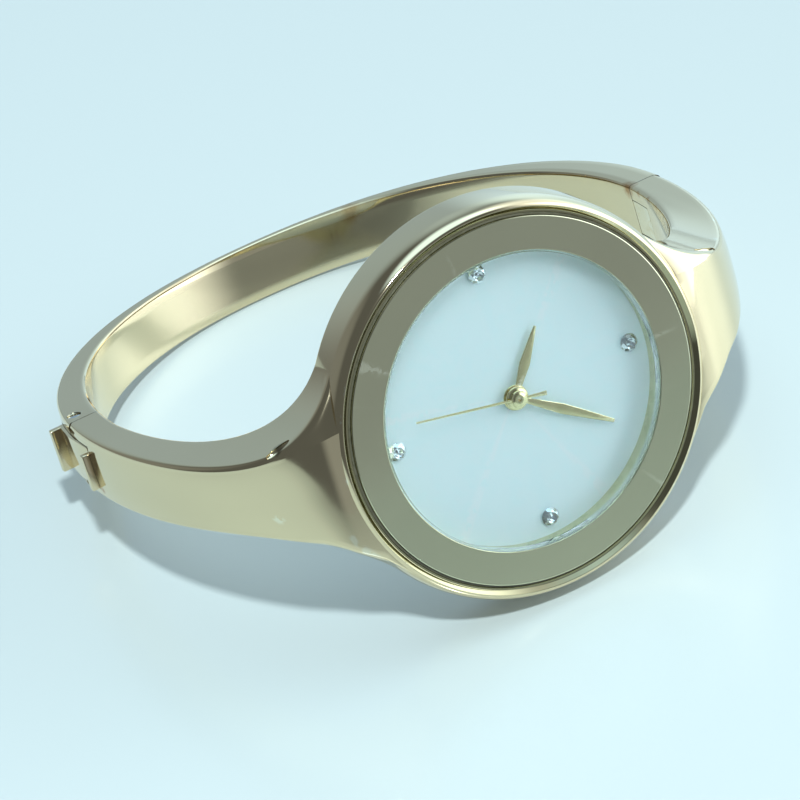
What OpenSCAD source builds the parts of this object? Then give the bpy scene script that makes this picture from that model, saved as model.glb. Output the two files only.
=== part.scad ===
// Bangle watch: a round case cast in one with two curved arms, closed by a hinged back half.
// It lies on its side, on the lower edge of the case and the lower edge of the bangle.
// Case frame: X towards 12 o'clock, Y towards 9 o'clock, Z out of the dial, zero at the front face.

/* [Case] */
// Outside diameter of the case
case_d = 37.5; // [36.5:0.5:40]
// Height of the case's side wall
wall_h = 5.5; // [5.4:0.1:6.2]
// Bevel on the case's back edge
edge_c = 0.3; // [0.1:0.05:0.5]
// Width of the rounded shoulder on the case's front edge
shoulder_w = 0.8; // [0.6:0.05:0.9]
// Height of that shoulder
shoulder_h = 2.2; // [1.8:0.1:2.4]
// Thickness of the rim wall round the flat ring
rim_t = 1.4; // [1.3:0.05:1.5]
// Width of the ledge that the dial rests on
ledge_w = 1; // [0.6:0.1:1.2]
// Radius of the blend from the case into each arm
blend_r = 14.4; // [13:0.2:16]

/* [Bangle] */
// Inside width of the bangle at its widest
wrist_w = 56.4; // [54:0.5:62]
// Depth from the front face to the inside of the back half
wrist_depth = 58.3; // [56:0.5:62]
// Depth from the front face to the widest level
widest_depth = 28.7; // [28:0.1:29.5]
// Thickness of the bangle at its widest
side_t = 3.4; // [3.2:0.1:3.8]
// Thickness of the bangle at the middle of the back
back_t = 1; // [0.8:0.1:1.6]
// Width of the arms and of the back half at the joints
arm_w = 6.6; // [6.4:0.1:7.4]
// Width of the back half at its middle
back_w = 5.8; // [5:0.1:6.2]
// Squareness of the back half's oval, where 2 is an ellipse
oval_e = 2.18; // [2.05:0.01:2.3]

/* [Hinge] */
// Radius of the hinge pin
hinge_pin_r = 0.7; // [0.5:0.05:0.8]
// Depth of the hinge pin's axis under the outer surface
hinge_in = 1.25; // [1.2:0.05:1.4]
// Depth of the hinge axis below the front face
hinge_depth = 27.3; // [27:0.1:27.6]
// Radius of the rounded ear ends about the hinge pin
ear_r = 1.5; // [1.4:0.05:1.6]
// Width of the tongue between the ears
tongue_w = 3.5; // [3:0.1:4]
// Reach of the tongue past the hinge axis
tongue_reach = 2; // [1.8:0.1:2.2]

/* [Clasp] */
// Depth of the joint between the left arm and the back half
clasp_depth = 33.5; // [33:0.1:34]
// Distance of the clasp pin behind that joint
clasp_pin_back = 1.6; // [1.5:0.1:1.8]
// Radius of the clasp pin
clasp_pin_r = 0.7; // [0.5:0.05:0.75]
// Distance of the clasp pin's axis from the bangle's inside width
clasp_pin_out = 1.75; // [1.7:0.05:1.9]
// Width of the latch lever
lever_w = 4.3; // [3.8:0.1:4.4]
// Thickness of the latch lever's plate
lever_t = 0.75; // [0.6:0.05:0.8]
// Reach of the lever's plate in front of the joint
lever_front = 4.45; // [4.3:0.05:4.6]
// Reach of the lever's plate behind the joint
lever_back = 3.7; // [3.5:0.1:3.9]
// Thickness of the two raised bars on the lever
bar_t = 0.7; // [0.5:0.05:0.8]
// Height of the front bar
front_bar_h = 0.7; // [0.5:0.05:0.8]
// Height of the back bar
back_bar_h = 1.1; // [0.8:0.05:1.2]

/* [Dial and glass] */
// Width of the flat ring round the dial, with its seal
ring_w = 3.4; // [3.2:0.05:4.4]
// Depth of the dial below the front face
dial_depth = 2.4; // [2.4:0.05:2.6]
// Thickness of the dial
dial_t = 0.4; // [0.3:0.05:0.45]
// Width of the bevel on the flat ring's outer edge
ring_bevel = 0.25; // [0.1:0.05:0.3]
// Width of the dark seal round the flat ring
seal_w = 0.25; // [0.2:0.05:0.3]
// Thickness of the glass
glass_t = 0.7; // [0.5:0.05:0.8]
// Depth of the glass below the front face
glass_in = 0.2; // [0.1:0.05:0.2]
// Thickness of the clear seal round the glass
glass_seal_t = 0.18; // [0.1:0.02:0.2]
// Distance of the middle of each stone inside the flat ring
stone_in = 1.68; // [1.4:0.02:2.2]
// Diameter of a stone
stone_d = 1.8; // [1.4:0.1:2]

/* [Hands] */
// Length of the hour hand from the middle
hour_len = 6.7; // [6:0.1:8]
// Length of the minute hand from the middle
minute_len = 10.4; // [9:0.1:11]
// Length of the second hand from the middle
second_len = 10.3; // [9:0.1:11]
// Length of the second hand's tail
tail_len = 2.8; // [2.5:0.1:4]
// Thickness of each hand
hand_t = 0.14; // [0.1:0.01:0.15]
// Gap between neighbouring hands
hand_gap = 0.2; // [0.12:0.01:0.22]
// Angle of the hour hand, clockwise from 12
hour_angle = 304.5; // [0:0.5:360]
// Angle of the minute hand, clockwise from 12
minute_angle = 35.8; // [0:0.1:360]
// Angle of the second hand, clockwise from 12
second_angle = 192; // [0:0.5:360]

/* [Movement] */
// Radius of the movement's main plate
plate_r = 12.5; // [12:0.1:12.6]
// Thickness of the main plate
plate_t = 0.9; // [0.85:0.05:0.95]
// Depth of the recess under the dial for the motion work
recess_t = 0.5; // [0.46:0.02:0.52]
// Height between the main plate and the train bridge
train_h = 1.1; // [1:0.02:1.14]
// Thickness of the train bridge
bridge_t = 0.3; // [0.25:0.01:0.32]
// Thickness of each wheel
wheel_t = 0.17; // [0.12:0.01:0.2]
// Distance from the centre to the third wheel
third_dist = 3.2; // [3.1:0.05:3.3]
// Distance from the centre to the fifth wheel
fifth_dist = 3.2; // [3.15:0.01:3.25]
// Distance from the fifth wheel to the rotor
rotor_dist = 2.4; // [2.3:0.05:2.45]
// Distance from the centre to the minute wheel
motion_dist = 2.4; // [2.3:0.05:2.5]
// Radius of the button cell
cell_r = 3.4; // [3.2:0.05:3.4]
// Height of the button cell
cell_h = 2.1; // [1.9:0.05:2.1]

/* [Crown] */
// Radius of the crown
crown_r = 1.05; // [0.9:0.05:1.1]
// Length of the crown
crown_len = 1.15; // [1:0.05:1.2]
// Radius of the winding stem
stem_r = 0.35; // [0.3:0.01:0.38]
// Depth of the stem's axis below the front face
stem_depth = 4.1; // [4.05:0.01:4.12]
// Distance that the crown pulls out to set the hands
crown_pull = 1; // [0.6:0.1:1]

/* [Case back] */
// Width of the case back's rim outside its raised disc
back_rim_w = 0.9; // [0.8:0.05:1.4]
// Height that the case back stands below the side wall
back_stand = 0.7; // [0.5:0.05:0.8]
// Thickness of the case back
back_plate_t = 0.8; // [0.6:0.05:0.8]

/* [Clearances] */
// Gap between a pin or an arbor and its hole
run_gap = 0.03; // [0.02:0.005:0.05]
// Gap between parts that are seated against each other
seat_gap = 0.02; // [0.01:0.005:0.04]
// Gap between the faces of the two halves at their joints
joint_gap = 0.1; // [0.06:0.01:0.14]

/* [Hidden] */
$fn = 96;

gold = [0.83, 0.76, 0.58];
champagne = [0.55, 0.52, 0.42];
brassy = [0.78, 0.66, 0.38];
steel = [0.72, 0.73, 0.75];
dark = [0.16, 0.14, 0.12];

// Distance that a cutting shape runs past the solid it cuts
past = 3;

// Levels and radii of the case
case_r = case_d / 2;
bore_r = case_r - rim_t;
cavity_r = bore_r - ledge_w;
opening_r = bore_r - ring_w;
stone_ring_r = opening_r - stone_in;
dial_z = -dial_depth;
dial_under = dial_z - dial_t;
glass_under = -glass_in - glass_t;
seal_in = 0.4;
rim_r = case_r - shoulder_w;
rim_slope = 0.35;
rim_step = 0.2;
ring_drop = 0.1;
crease_w = 5.2;
crease_fall = [16, 45];
flange_gap = 0.05;
flange_t = 0.35;
flange_in = 0.7;
flange_r = bore_r - flange_in;
back_disc_r = flange_r - back_rim_w;
seat_h = 0.3;
flange_under = -wall_h + flange_gap;
flange_top = flange_under + flange_t;
seat_top = flange_top + seat_h;
inside_z = flange_under - back_stand + back_plate_t;
back_under = -wall_h - back_stand;
back_edge = 0.15;

// Outline of the bangle, with the handles of the curves that shape the arms
in_half = wrist_w / 2;
out_half = in_half + side_t;
widest = -widest_depth;
far_in = -wrist_depth;
far_out = far_in - back_t;
arm_tuck = 0.15;
arm_drop = 0.3;
arm_face = 0.15;
outer_reach = 6.6;
outer_fall = 1.1;
outer_bend = 0.49;
inner_tuck = 3.6;
inner_reach = 2.65;
inner_fall = 0.9;
inner_bend = 0.565;
inner_waist = 0.8;
arm_root = [case_r * 0.65, case_r * 0.43];
arm_flat = case_r * 0.93;
blend_in = 0.04;
taper_start = 5;

// Hinge
hinge_x = out_half - hinge_in;
hinge_z = -hinge_depth;
shoulder_z = hinge_z - ear_r;
hinge_skin = 0.7;
hinge_pin_len = arm_w - hinge_skin;

// Clasp, with the lever's hook and the catch that holds it
clasp_z = -clasp_depth;
clasp_x = -(in_half + clasp_pin_out);
clasp_pin_z = clasp_z - clasp_pin_back;
clasp_pin_sink = 0.15;
hub_t = 0.35;
hub_r = clasp_pin_r + hub_t;
slot_w = lever_w + 2 * joint_gap;
lever_top = -out_half;
lever_drop = 0.5;
lever_z = clasp_z + lever_front;
lever_end_z = clasp_z - lever_back;
lever_room = 0.15;
lever_swing = 0.4;
channel_skin = 0.8;
channel_x = -(in_half + channel_skin);
hook_in = 0.25;
hook_t = 1.1;
hook_low = lever_z - hook_in - hook_t;
hook_room = 0.5;
catch_t = 0.2;
catch_h = 1.3;
catch_gap = 0.12;
catch_z = hook_low - catch_gap;

// Coiled spring on the clasp pin
wire_r = 0.12;
spring_gap = 0.05;
spring_r = clasp_pin_r + wire_r + spring_gap;
hub_w = 1;
spring_w = lever_w - 2 * hub_w;
spring_len = spring_w - 4 * wire_r;
spring_turns = 5.25;
spring_steps = 12;
spring_sides = 6;
long_leg = 0.9;
short_leg = 0.3;

// Levels of the hands and the movement
hour_boss_r = 1.2;
minute_boss_r = 1.1;
second_boss_r = 0.8;
leaf_belly = 0.46;
hour_hand_z = dial_z + 2 * hand_gap;
minute_hand_z = hour_hand_z + hand_t + hand_gap;
second_hand_z = minute_hand_z + hand_t + hand_gap;
plate_top = dial_under - 0.06;
recess_z = plate_top - recess_t;
plate_under = plate_top - plate_t;
bridge_top = plate_under - train_h;
bridge_under = bridge_top - bridge_t;
level_step = (train_h - 3 * wheel_t) / 4 + wheel_t;
level_1 = plate_under - level_step;
level_2 = level_1 - level_step;
level_3 = level_2 - level_step;
motion_gap = (recess_t - 2 * wheel_t) / 3;
motion_low = recess_z + motion_gap;
motion_high = motion_low + wheel_t + motion_gap;

// Stones
stone_h = 0.55;
stone_foot = 0.18;
stone_foot_r = stone_d * 0.29;

// Radii of the arbors and of the pipes in the middle of the dial
pipe_t = 0.2;
seconds_r = 0.18;
cannon_r = seconds_r + run_gap + pipe_t;
pipe_r = cannon_r + run_gap + pipe_t;
arbor_r = 0.15;
post_r = 0.2;
pivot_len = 0.25;
pivot_low = bridge_under + 0.05;

// Teeth of the wheels and pinions
pinion_n = 6;
rotor_wheel_n = 30;
seconds_n = 36;
third_n = 45;
centre_n = 48;
cannon_n = 10;
minute_n = 30;
minute_pinion_n = 8;
hour_n = 32;
clutch_n = 10;
tooth_out = 0.8;
tooth_in = 1.15;
fifth_m = rotor_dist * 2 / (pinion_n + rotor_wheel_n);
seconds_m = fifth_dist * 2 / (pinion_n + seconds_n);
third_m = third_dist * 2 / (pinion_n + third_n);
centre_m = third_dist * 2 / (pinion_n + centre_n);
motion_m = motion_dist * 2 / (cannon_n + minute_n);

// Places of the movement's parts
rotor_turn = 110;
rotor_at = [-fifth_dist + rotor_dist * cos(rotor_turn), rotor_dist * sin(rotor_turn)];
arbor_at = [[third_dist, 0], [-fifth_dist, 0], rotor_at];
rotor_r = 0.7;
bridge_r = 5.1;
bridge_post_r = 0.6;
bridge_posts = [[0.6, -4.3], [-2.6, -3.9], [0.7, 4.4]];
screw_head_t = 0.12;
cell_gap = 0.1;
cell_edge = 0.32;
cell_dist = plate_r - cell_r - cell_gap - cell_edge;
cell_turn = 54.85;
cell_at = cell_dist * [cos(cell_turn), sin(cell_turn)];
cell_low = bridge_under + 0.05;
clip_t = 0.15;
clip_w = 1.6;
coil_in = 6.2;
coil_y = plate_r - coil_in;
coil_r = 0.68;
coil_side = 3.9;
coil_x = [coil_side - plate_r, -1.4];
coil_axis_z = plate_under - coil_r - 0.05;
board_t = 0.2;
board_in = 1;
board_gap = 0.3;
board_arc = [187, 256];
can_r = 0.5;
can_len = 4.2;
can_at = [3.5 - plate_r, -5];
holder_gap = 0.1;

// Stem, crown and the recess that hides the crown
clutch_r = 0.75;
clutch_len = 1.1;
clutch_in = 1.9;
clutch_y = clutch_in - plate_r;
square_w = stem_r * 1.2;
square_in = clutch_y + crown_pull;
square_out = clutch_y - clutch_len - 0.7;
crown_in = -case_r + crown_len;
crown_edge = 0.15;
crown_bore = 0.5;
recess_gap = 0.1;
recess_r = crown_r + recess_gap;
stem_hole_r = stem_r + 0.25;
crown_seal_r = 0.1;

// The resting pose: the case's lower back edge, on both sides of the crown's recess, and
// the back half's lower edge touch the table
rest_in = wall_h - edge_c;
rest_r = sqrt(case_r * case_r - recess_r * recess_r);
tilt = atan((rest_r - back_w / 2) / (-far_out - rest_in));
lift = rest_r * cos(tilt) + rest_in * sin(tilt);
front_y = -rim_r * sin(tilt);
rear_y = back_w / 2 * sin(tilt) - far_out * cos(tilt);
centre_y = -(front_y + rear_y) / 2;

function bezier(p, t) = p[0] * pow(1 - t, 3) + 3 * p[1] * t * pow(1 - t, 2)
    + 3 * p[2] * t * t * (1 - t) + p[3] * pow(t, 3);
function bezier_line(p, steps) = [for (i = [0 : steps]) bezier(p, i / steps)];
function flip(points) = [for (i = [len(points) - 1 : -1 : 0]) [-points[i][0], points[i][1]]];
function power(v, e) = sign(v) * pow(abs(v), e);
function half_oval(a, depth, steps) = [for (i = [1 : steps - 1])
    let (q = -180 * i / steps)
    [a * power(cos(q), 2 / oval_e), widest + depth * power(sin(q), 2 / oval_e)]];

// Side view of the bangle: the outer and inner curve of an arm, from the case to the widest level
function outer_arm() = concat([[arm_root[0], -arm_face], [arm_flat, -arm_face]],
    bezier_line([[case_r - arm_tuck, -arm_drop], [case_r + outer_reach, -outer_fall],
        [out_half, widest * outer_bend], [out_half, widest]], 14));
function inner_arm() = bezier_line([[case_r - inner_tuck, -wall_h],
    [case_r + inner_reach, -wall_h - inner_fall],
    [in_half - inner_waist, widest * inner_bend], [in_half, widest]], 12);

module rest_pose() {
    translate([0, centre_y, lift]) rotate([90 - tilt, 0, 0]) children();
}

// Extrudes a side view drawn in X and Z over a width across the bangle
module across(w) {
    rotate([90, 0, 0]) linear_extrude(height = w, center = true) children();
}

// A round bar across the bangle, with its axis at x and z
module cross_bar(x, z, r, w) {
    translate([x, 0, z]) rotate([90, 0, 0]) cylinder(h = w, r = r, center = true);
}

module ring_of(r_out, r_in, z_low, z_high) {
    translate([0, 0, z_low]) difference() {
        cylinder(h = z_high - z_low, r = r_out);
        translate([0, 0, -past]) cylinder(h = z_high - z_low + 2 * past, r = r_in);
    }
}

module bangle_view() {
    outer = concat(outer_arm(), half_oval(out_half, widest - far_out, 40), flip(outer_arm()));
    inner = concat(inner_arm(), half_oval(in_half, widest - far_in, 40), flip(inner_arm()));
    difference() {
        polygon(outer);
        polygon(inner);
    }
}

// Plan of both arms with the blends that lead them out of the round case
module arm_plan() {
    mid = arm_w / 2 + blend_r;
    reach = case_r + blend_r - blend_in;
    along = sqrt(reach * reach - mid * mid);
    start = atan2(mid, along);
    blend = [for (i = [0 : 10]) let (q = 180 + start + (90 - start) * i / 10)
        [along + blend_r * cos(q), mid + blend_r * sin(q)]];
    half = concat([arm_root], blend, [[out_half + past, arm_w / 2]]);
    lower = [for (i = [len(half) - 1 : -1 : 0]) [half[i][0], -half[i][1]]];
    polygon(concat(half, lower));
    mirror([1, 0]) polygon(concat(half, lower));
}

// Side view limit of the front casting: everything in front of the two joints
module front_limit() {
    polygon([[-out_half - past, past], [out_half + past, past], [out_half + past, hinge_z],
        [hinge_x, hinge_z], [hinge_x, shoulder_z], [0, shoulder_z], [0, clasp_z],
        [-out_half - past, clasp_z]]);
    translate([hinge_x, hinge_z]) circle(r = ear_r);
}

// Side view limit of the back half: everything behind the two joints
module back_limit() {
    difference() {
        polygon([[-out_half - past, clasp_z - joint_gap], [0, clasp_z - joint_gap],
            [0, shoulder_z - joint_gap], [hinge_x, shoulder_z - joint_gap],
            [hinge_x, hinge_z], [out_half + past, hinge_z],
            [out_half + past, far_out - past], [-out_half - past, far_out - past]]);
        translate([hinge_x, hinge_z]) circle(r = ear_r + joint_gap);
    }
}

// Front casting: the case with its two arms, in one piece
module front_casting() {
    color(gold) rest_pose() difference() {
        union() {
            case_disc();
            difference() {
                intersection() {
                    across(2 * case_d) intersection() {
                        bangle_view();
                        front_limit();
                    }
                    translate([0, 0, far_out]) linear_extrude(height = -far_out + past) arm_plan();
                }
                for (x = [0, 1], y = [0, 1]) mirror([x, 0, 0]) mirror([0, y, 0]) crease_cut();
            }
        }
        rim_cut();
        translate([0, 0, dial_under]) cylinder(h = case_r, r = bore_r);
        translate([0, 0, -case_r]) cylinder(h = case_r + dial_under + dial_t / 2, r = cavity_r);
        translate([0, 0, -case_r]) cylinder(h = case_r + seat_top, r = flange_r + flange_gap);
        crown_space();
        latch_channel();
        fork_slot();
        translate([0, -hinge_skin / 2, 0]) cross_bar(hinge_x, hinge_z, hinge_pin_r, hinge_pin_len);
    }
}

// Round body of the case, with an elliptical shoulder on its front edge
module case_disc() {
    rotate_extrude() polygon(concat([[0, -wall_h], [case_r - edge_c, -wall_h],
        [case_r, -wall_h + edge_c]], [for (q = [0 : 15 : 90])
        [rim_r + shoulder_w * cos(q), shoulder_h * (sin(q) - 1)]], [[0, 0]]));
}

// Slope and narrow step that lead from the rim's edge down to the bore
module rim_cut() {
    rotate_extrude() polygon([[0, -rim_slope], [bore_r + rim_step, -rim_slope], [rim_r, 0],
        [rim_r, past], [0, past]]);
}

// Slanted facet beside the crease where an arm's front face leaves the case
module crease_cut() {
    translate([rim_r, crease_w, -arm_face]) rotate([-crease_fall[1], crease_fall[0], 0])
        translate([-case_r, 0, 0]) cube([2 * case_r, case_r, case_r]);
}

// Recess for the crown in the lower side wall, with the hole for the stem
module crown_space() {
    translate([0, -case_r - past, -stem_depth]) rotate([-90, 0, 0]) {
        cylinder(h = past + crown_len + recess_gap, r = recess_r);
        translate([0, 0, past]) cylinder(h = case_r - cavity_r + past, r = stem_hole_r);
    }
    translate([-recess_r, -case_r - past, -wall_h - past])
        cube([2 * recess_r, past + crown_len + recess_gap, wall_h + past - stem_depth]);
}

// Channel that takes the lever and its hook in the end of the left arm
module latch_channel() {
    translate([lever_top - past, -slot_w / 2, clasp_z - past])
        cube([channel_x - lever_top + past, slot_w, lever_front + past + joint_gap]);
}

// Slot between the two ears for the tongue of the back half
module fork_slot() {
    slot = tongue_w + 2 * joint_gap;
    translate([in_half - past, -slot / 2, shoulder_z - past])
        cube([side_t + 2 * past, slot, ear_r + past + tongue_reach + joint_gap]);
}

// Back half: the plain tapering band behind the two joints
module back_bangle() {
    taper = [[arm_w / 2, hinge_z + past], [arm_w / 2, widest - taper_start],
        [back_w / 2, far_out], [back_w / 2, far_out - past], [-back_w / 2, far_out - past],
        [-back_w / 2, far_out], [-arm_w / 2, widest - taper_start],
        [-arm_w / 2, hinge_z + past]];
    color(gold) rest_pose() difference() {
        union() {
            intersection() {
                across(arm_w) intersection() {
                    bangle_view();
                    back_limit();
                }
                rotate([90, 0, 90]) linear_extrude(height = 4 * out_half, center = true)
                    polygon(taper);
            }
            across(tongue_w) intersection() {
                bangle_view();
                tongue_limit();
            }
        }
        cross_bar(hinge_x, hinge_z, hinge_pin_r + run_gap, 2 * arm_w);
        cross_bar(clasp_x, clasp_pin_z, clasp_pin_r, 2 * arm_w);
        lever_slot();
    }
}

// Side view limit of the tongue, rounded about the hinge axis on its outer side
module tongue_limit() {
    translate([in_half - past, shoulder_z - past])
        square([hinge_x - in_half + past, ear_r + past + tongue_reach]);
    translate([in_half, shoulder_z - past]) square([side_t + past, ear_r + past]);
    translate([hinge_x, hinge_z]) circle(r = tongue_reach);
}

// Slot in the back half where the lever rocks on its pin
module lever_slot() {
    cross_bar(clasp_x, clasp_pin_z, hub_r + joint_gap, slot_w);
    translate([lever_top - past, -slot_w / 2, clasp_pin_z])
        cube([clasp_x - lever_top + past, slot_w, clasp_pin_back + past]);
    translate([lever_top - past, -slot_w / 2, lever_end_z - lever_swing])
        cube([clasp_x + lever_room - lever_top + past, slot_w, clasp_pin_z - lever_end_z + lever_swing]);
}

module hinge_pin() {
    color(gold) rest_pose() translate([0, -hinge_skin / 2, 0])
        cross_bar(hinge_x, hinge_z, hinge_pin_r - seat_gap, hinge_pin_len - 2 * seat_gap);
}

module clasp_pin() {
    color(steel) rest_pose()
        cross_bar(clasp_x, clasp_pin_z, clasp_pin_r - seat_gap, arm_w - 2 * clasp_pin_sink);
}

// Latch lever: a plate flush with the bangle, two raised bars, a hub on the pin and a hook
module latch_lever() {
    end_top = lever_top + lever_drop;
    inner = lever_top + lever_t;
    color(gold) rest_pose() difference() {
        union() {
            across(lever_w) {
                polygon([[lever_top, lever_z], [lever_top, clasp_z], [end_top, lever_end_z],
                    [end_top + lever_t, lever_end_z], [inner, clasp_z], [inner, lever_z]]);
                translate([lever_top - front_bar_h, lever_z - bar_t])
                    square([front_bar_h + lever_t / 2, bar_t]);
                translate([end_top - back_bar_h, lever_end_z])
                    square([back_bar_h + lever_t / 2, bar_t]);
                translate([lever_top + lever_t / 2, hook_low])
                    square([channel_x - hook_room - lever_top - lever_t / 2, hook_t]);
                translate([lever_top + lever_drop, clasp_pin_z - hub_r])
                    square([clasp_x - lever_top - lever_drop, 2 * hub_r]);
            }
            cross_bar(clasp_x, clasp_pin_z, hub_r, lever_w);
        }
        cross_bar(clasp_x, clasp_pin_z, clasp_pin_r + run_gap, 2 * lever_w);
        spring_room();
    }
}

// Room for the coiled spring between the two halves of the lever's hub
module spring_room() {
    reach = spring_r + wire_r + spring_gap;
    translate([clasp_x - reach, -spring_w / 2, clasp_pin_z - hub_r - spring_gap])
        cube([reach + 2 * hub_r, spring_w, 2 * (hub_r + spring_gap)]);
}

// Path of the latch spring's wire, from the leg under the lever to the leg in the slot
function spring_path() = concat(
    [[-spring_r, -spring_len / 2, -long_leg]],
    [for (i = [0 : spring_steps * spring_turns]) let (q = 180 - i * 360 / spring_steps)
        [spring_r * cos(q), spring_len * (i / (spring_steps * spring_turns) - 0.5),
            spring_r * sin(q)]],
    [[short_leg, spring_len / 2, spring_r]]);
function along_path(p, i) = let (a = p[max(i - 1, 0)], b = p[min(i + 1, len(p) - 1)])
    (b - a) / norm(b - a);
function path_side(p, i) = let (s = cross(along_path(p, i), [0, 1, 0])) s / norm(s);
function path_up(p, i) = cross(path_side(p, i), along_path(p, i));

// Latch spring: a wire coiled round the clasp pin that keeps the hook down
module latch_spring() {
    path = spring_path();
    rings = len(path);
    sides = spring_sides;
    points = [for (i = [0 : rings - 1], k = [0 : sides - 1]) let (q = k * 360 / sides)
        path[i] + wire_r * (cos(q) * path_side(path, i) + sin(q) * path_up(path, i))];
    walls = [for (i = [0 : rings - 2], k = [0 : sides - 1]) let (n = (k + 1) % sides)
        [i * sides + k, i * sides + n, (i + 1) * sides + n, (i + 1) * sides + k]];
    ends = [[for (k = [sides - 1 : -1 : 0]) k],
        [for (k = [0 : sides - 1]) (rings - 1) * sides + k]];
    color(steel) rest_pose() translate([clasp_x, 0, clasp_pin_z])
        polyhedron(points, concat(walls, ends), convexity = 6);
}

// Catch spring: a strip on the channel's floor whose tooth holds the lever's hook
module catch_spring() {
    floor_x = channel_x - seat_gap;
    color(steel) rest_pose() across(slot_w - 2 * joint_gap) polygon([
        [floor_x, clasp_z + joint_gap], [floor_x, lever_z], [floor_x - catch_t, lever_z],
        [floor_x - catch_t, catch_z], [floor_x - catch_h, catch_z],
        [floor_x - catch_h, catch_z - catch_t], [floor_x - catch_t, catch_z - catch_h],
        [floor_x - catch_t, clasp_z + joint_gap]]);
}

module flat_ring() {
    r = bore_r - seal_w - seat_gap;
    color(champagne) rest_pose() rotate_extrude() polygon([[opening_r, dial_z + seat_gap],
        [r, dial_z + seat_gap], [r, -ring_drop - ring_bevel / 2],
        [r - ring_bevel, -ring_drop], [opening_r, -ring_drop]]);
}

module ring_seal() {
    color(dark) rest_pose()
        ring_of(bore_r - seat_gap, bore_r - seal_w, dial_z + seat_gap, -seal_in);
}

module glass() {
    color([0.8, 0.9, 0.95, 0.35]) rest_pose() translate([0, 0, glass_under])
        cylinder(h = glass_t, r = opening_r - glass_seal_t - 2 * seat_gap);
}

module glass_seal() {
    color([0.9, 0.9, 0.9, 0.6]) rest_pose() ring_of(opening_r - seat_gap,
        opening_r - glass_seal_t - seat_gap, glass_under, -glass_in);
}

module dial() {
    color([0.9, 0.95, 0.95]) rest_pose() difference() {
        translate([0, 0, dial_under]) cylinder(h = dial_t, r = bore_r - 2 * seat_gap);
        translate([0, 0, dial_under - past]) cylinder(h = 2 * past, r = pipe_r + 0.1);
        for (q = [0 : 90 : 270]) rotate([0, 0, q])
            translate([stone_ring_r, 0, dial_z - stone_foot - seat_gap])
                cylinder(h = past, r = stone_foot_r + seat_gap);
    }
}

// Four round clear stones at 12, 3, 6 and 9 o'clock, each with its foot in the dial
module dial_stones() {
    r = stone_d / 2;
    color([0.85, 0.88, 0.92]) rest_pose() for (q = [0 : 90 : 270]) rotate([0, 0, q])
        translate([stone_ring_r, 0, dial_z]) rotate_extrude($fn = 48)
            polygon([[0, -stone_foot], [stone_foot_r, -stone_foot], [stone_foot_r, seat_gap],
                [r * 0.8, seat_gap], [r, stone_h * 0.45], [r * 0.6, stone_h], [0, stone_h]]);
}

// A hand drawn from its boss towards 12 o'clock, then turned clockwise to its angle
module hand(angle, z, boss_r, hole_r, outline) {
    color(brassy) rest_pose() rotate([0, 0, -angle]) translate([0, 0, z]) difference() {
        union() {
            linear_extrude(height = hand_t) polygon(outline);
            cylinder(h = hand_t, r = boss_r);
        }
        translate([0, 0, -past]) cylinder(h = 2 * past, r = hole_r);
    }
}

// Outline of a leaf hand: half widths at the boss, at the widest place and at the tip
function leaf(length, root, belly, tip) = [[0, -root], [length * leaf_belly, -belly],
    [length, -tip], [length, tip], [length * leaf_belly, belly], [0, root]];

module hour_hand() {
    hand(hour_angle, hour_hand_z, hour_boss_r, pipe_r + seat_gap, leaf(hour_len, 0.22, 0.53, 0.12));
}

module minute_hand() {
    hand(minute_angle, minute_hand_z, minute_boss_r, cannon_r + seat_gap,
        leaf(minute_len, 0.2, 0.48, 0.16));
}

module second_hand() {
    waist = tail_len * 0.45;
    hand(second_angle, second_hand_z, second_boss_r, seconds_r + seat_gap, [[-tail_len, -0.22],
        [-waist, -0.13], [second_len, -0.09], [second_len, 0.09],
        [-waist, 0.13], [-tail_len, 0.22]]);
}

// Outline of a toothed wheel: four points to each tooth, and a tooth on the X axis
function teeth(n, m) = [for (i = [0 : n - 1]) let (p = 360 / n, root = m * (n / 2 - tooth_in),
    tip = m * (n / 2 + tooth_out))
    each [for (c = [[root, -0.3], [tip, -0.11], [tip, 0.11], [root, 0.3]])
        c[0] * [cos((i + c[1]) * p), sin((i + c[1]) * p)]]];

// A toothed wheel turned so that a tooth, or a space, points along an angle
module wheel(n, m, z, t, turn) {
    translate([0, 0, z]) rotate([0, 0, turn]) linear_extrude(height = t) polygon(teeth(n, m));
}

// Hour wheel on the dial side, with the pipe that carries the hour hand
module hour_wheel() {
    color(brassy) rest_pose() difference() {
        union() {
            wheel(hour_n, motion_m, motion_high, wheel_t, 180 / hour_n);
            translate([0, 0, motion_high]) cylinder(h = hour_hand_z + hand_t - motion_high, r = pipe_r);
        }
        translate([0, 0, recess_z]) cylinder(h = 2 * past, r = cannon_r + run_gap);
    }
}

// Cannon pinion: the tube that carries the minute hand, with the pinion of the motion work
module cannon_pinion() {
    top = minute_hand_z + hand_t;
    low = level_1 + seat_gap;
    color(brassy) rest_pose() difference() {
        union() {
            wheel(cannon_n, motion_m, motion_low, wheel_t, 0);
            translate([0, 0, low]) cylinder(h = top - low, r = cannon_r);
        }
        translate([0, 0, low - past]) cylinder(h = 3 * past, r = seconds_r + run_gap);
    }
}

// Minute wheel of the motion work, turning on a post of the main plate
module minute_wheel() {
    color(brassy) rest_pose() translate([0, motion_dist, 0]) difference() {
        union() {
            wheel(minute_n, motion_m, motion_low, wheel_t, 90);
            wheel(minute_pinion_n, motion_m, motion_low + wheel_t / 2,
                motion_high - motion_low + wheel_t / 2, 90);
        }
        translate([0, 0, recess_z]) cylinder(h = past, r = post_r + run_gap);
    }
}

module centre_wheel() {
    color(brassy) rest_pose() difference() {
        wheel(centre_n, centre_m, level_1, wheel_t, 0);
        translate([0, 0, level_1 - past]) cylinder(h = 2 * past, r = cannon_r + seat_gap);
    }
}

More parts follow.
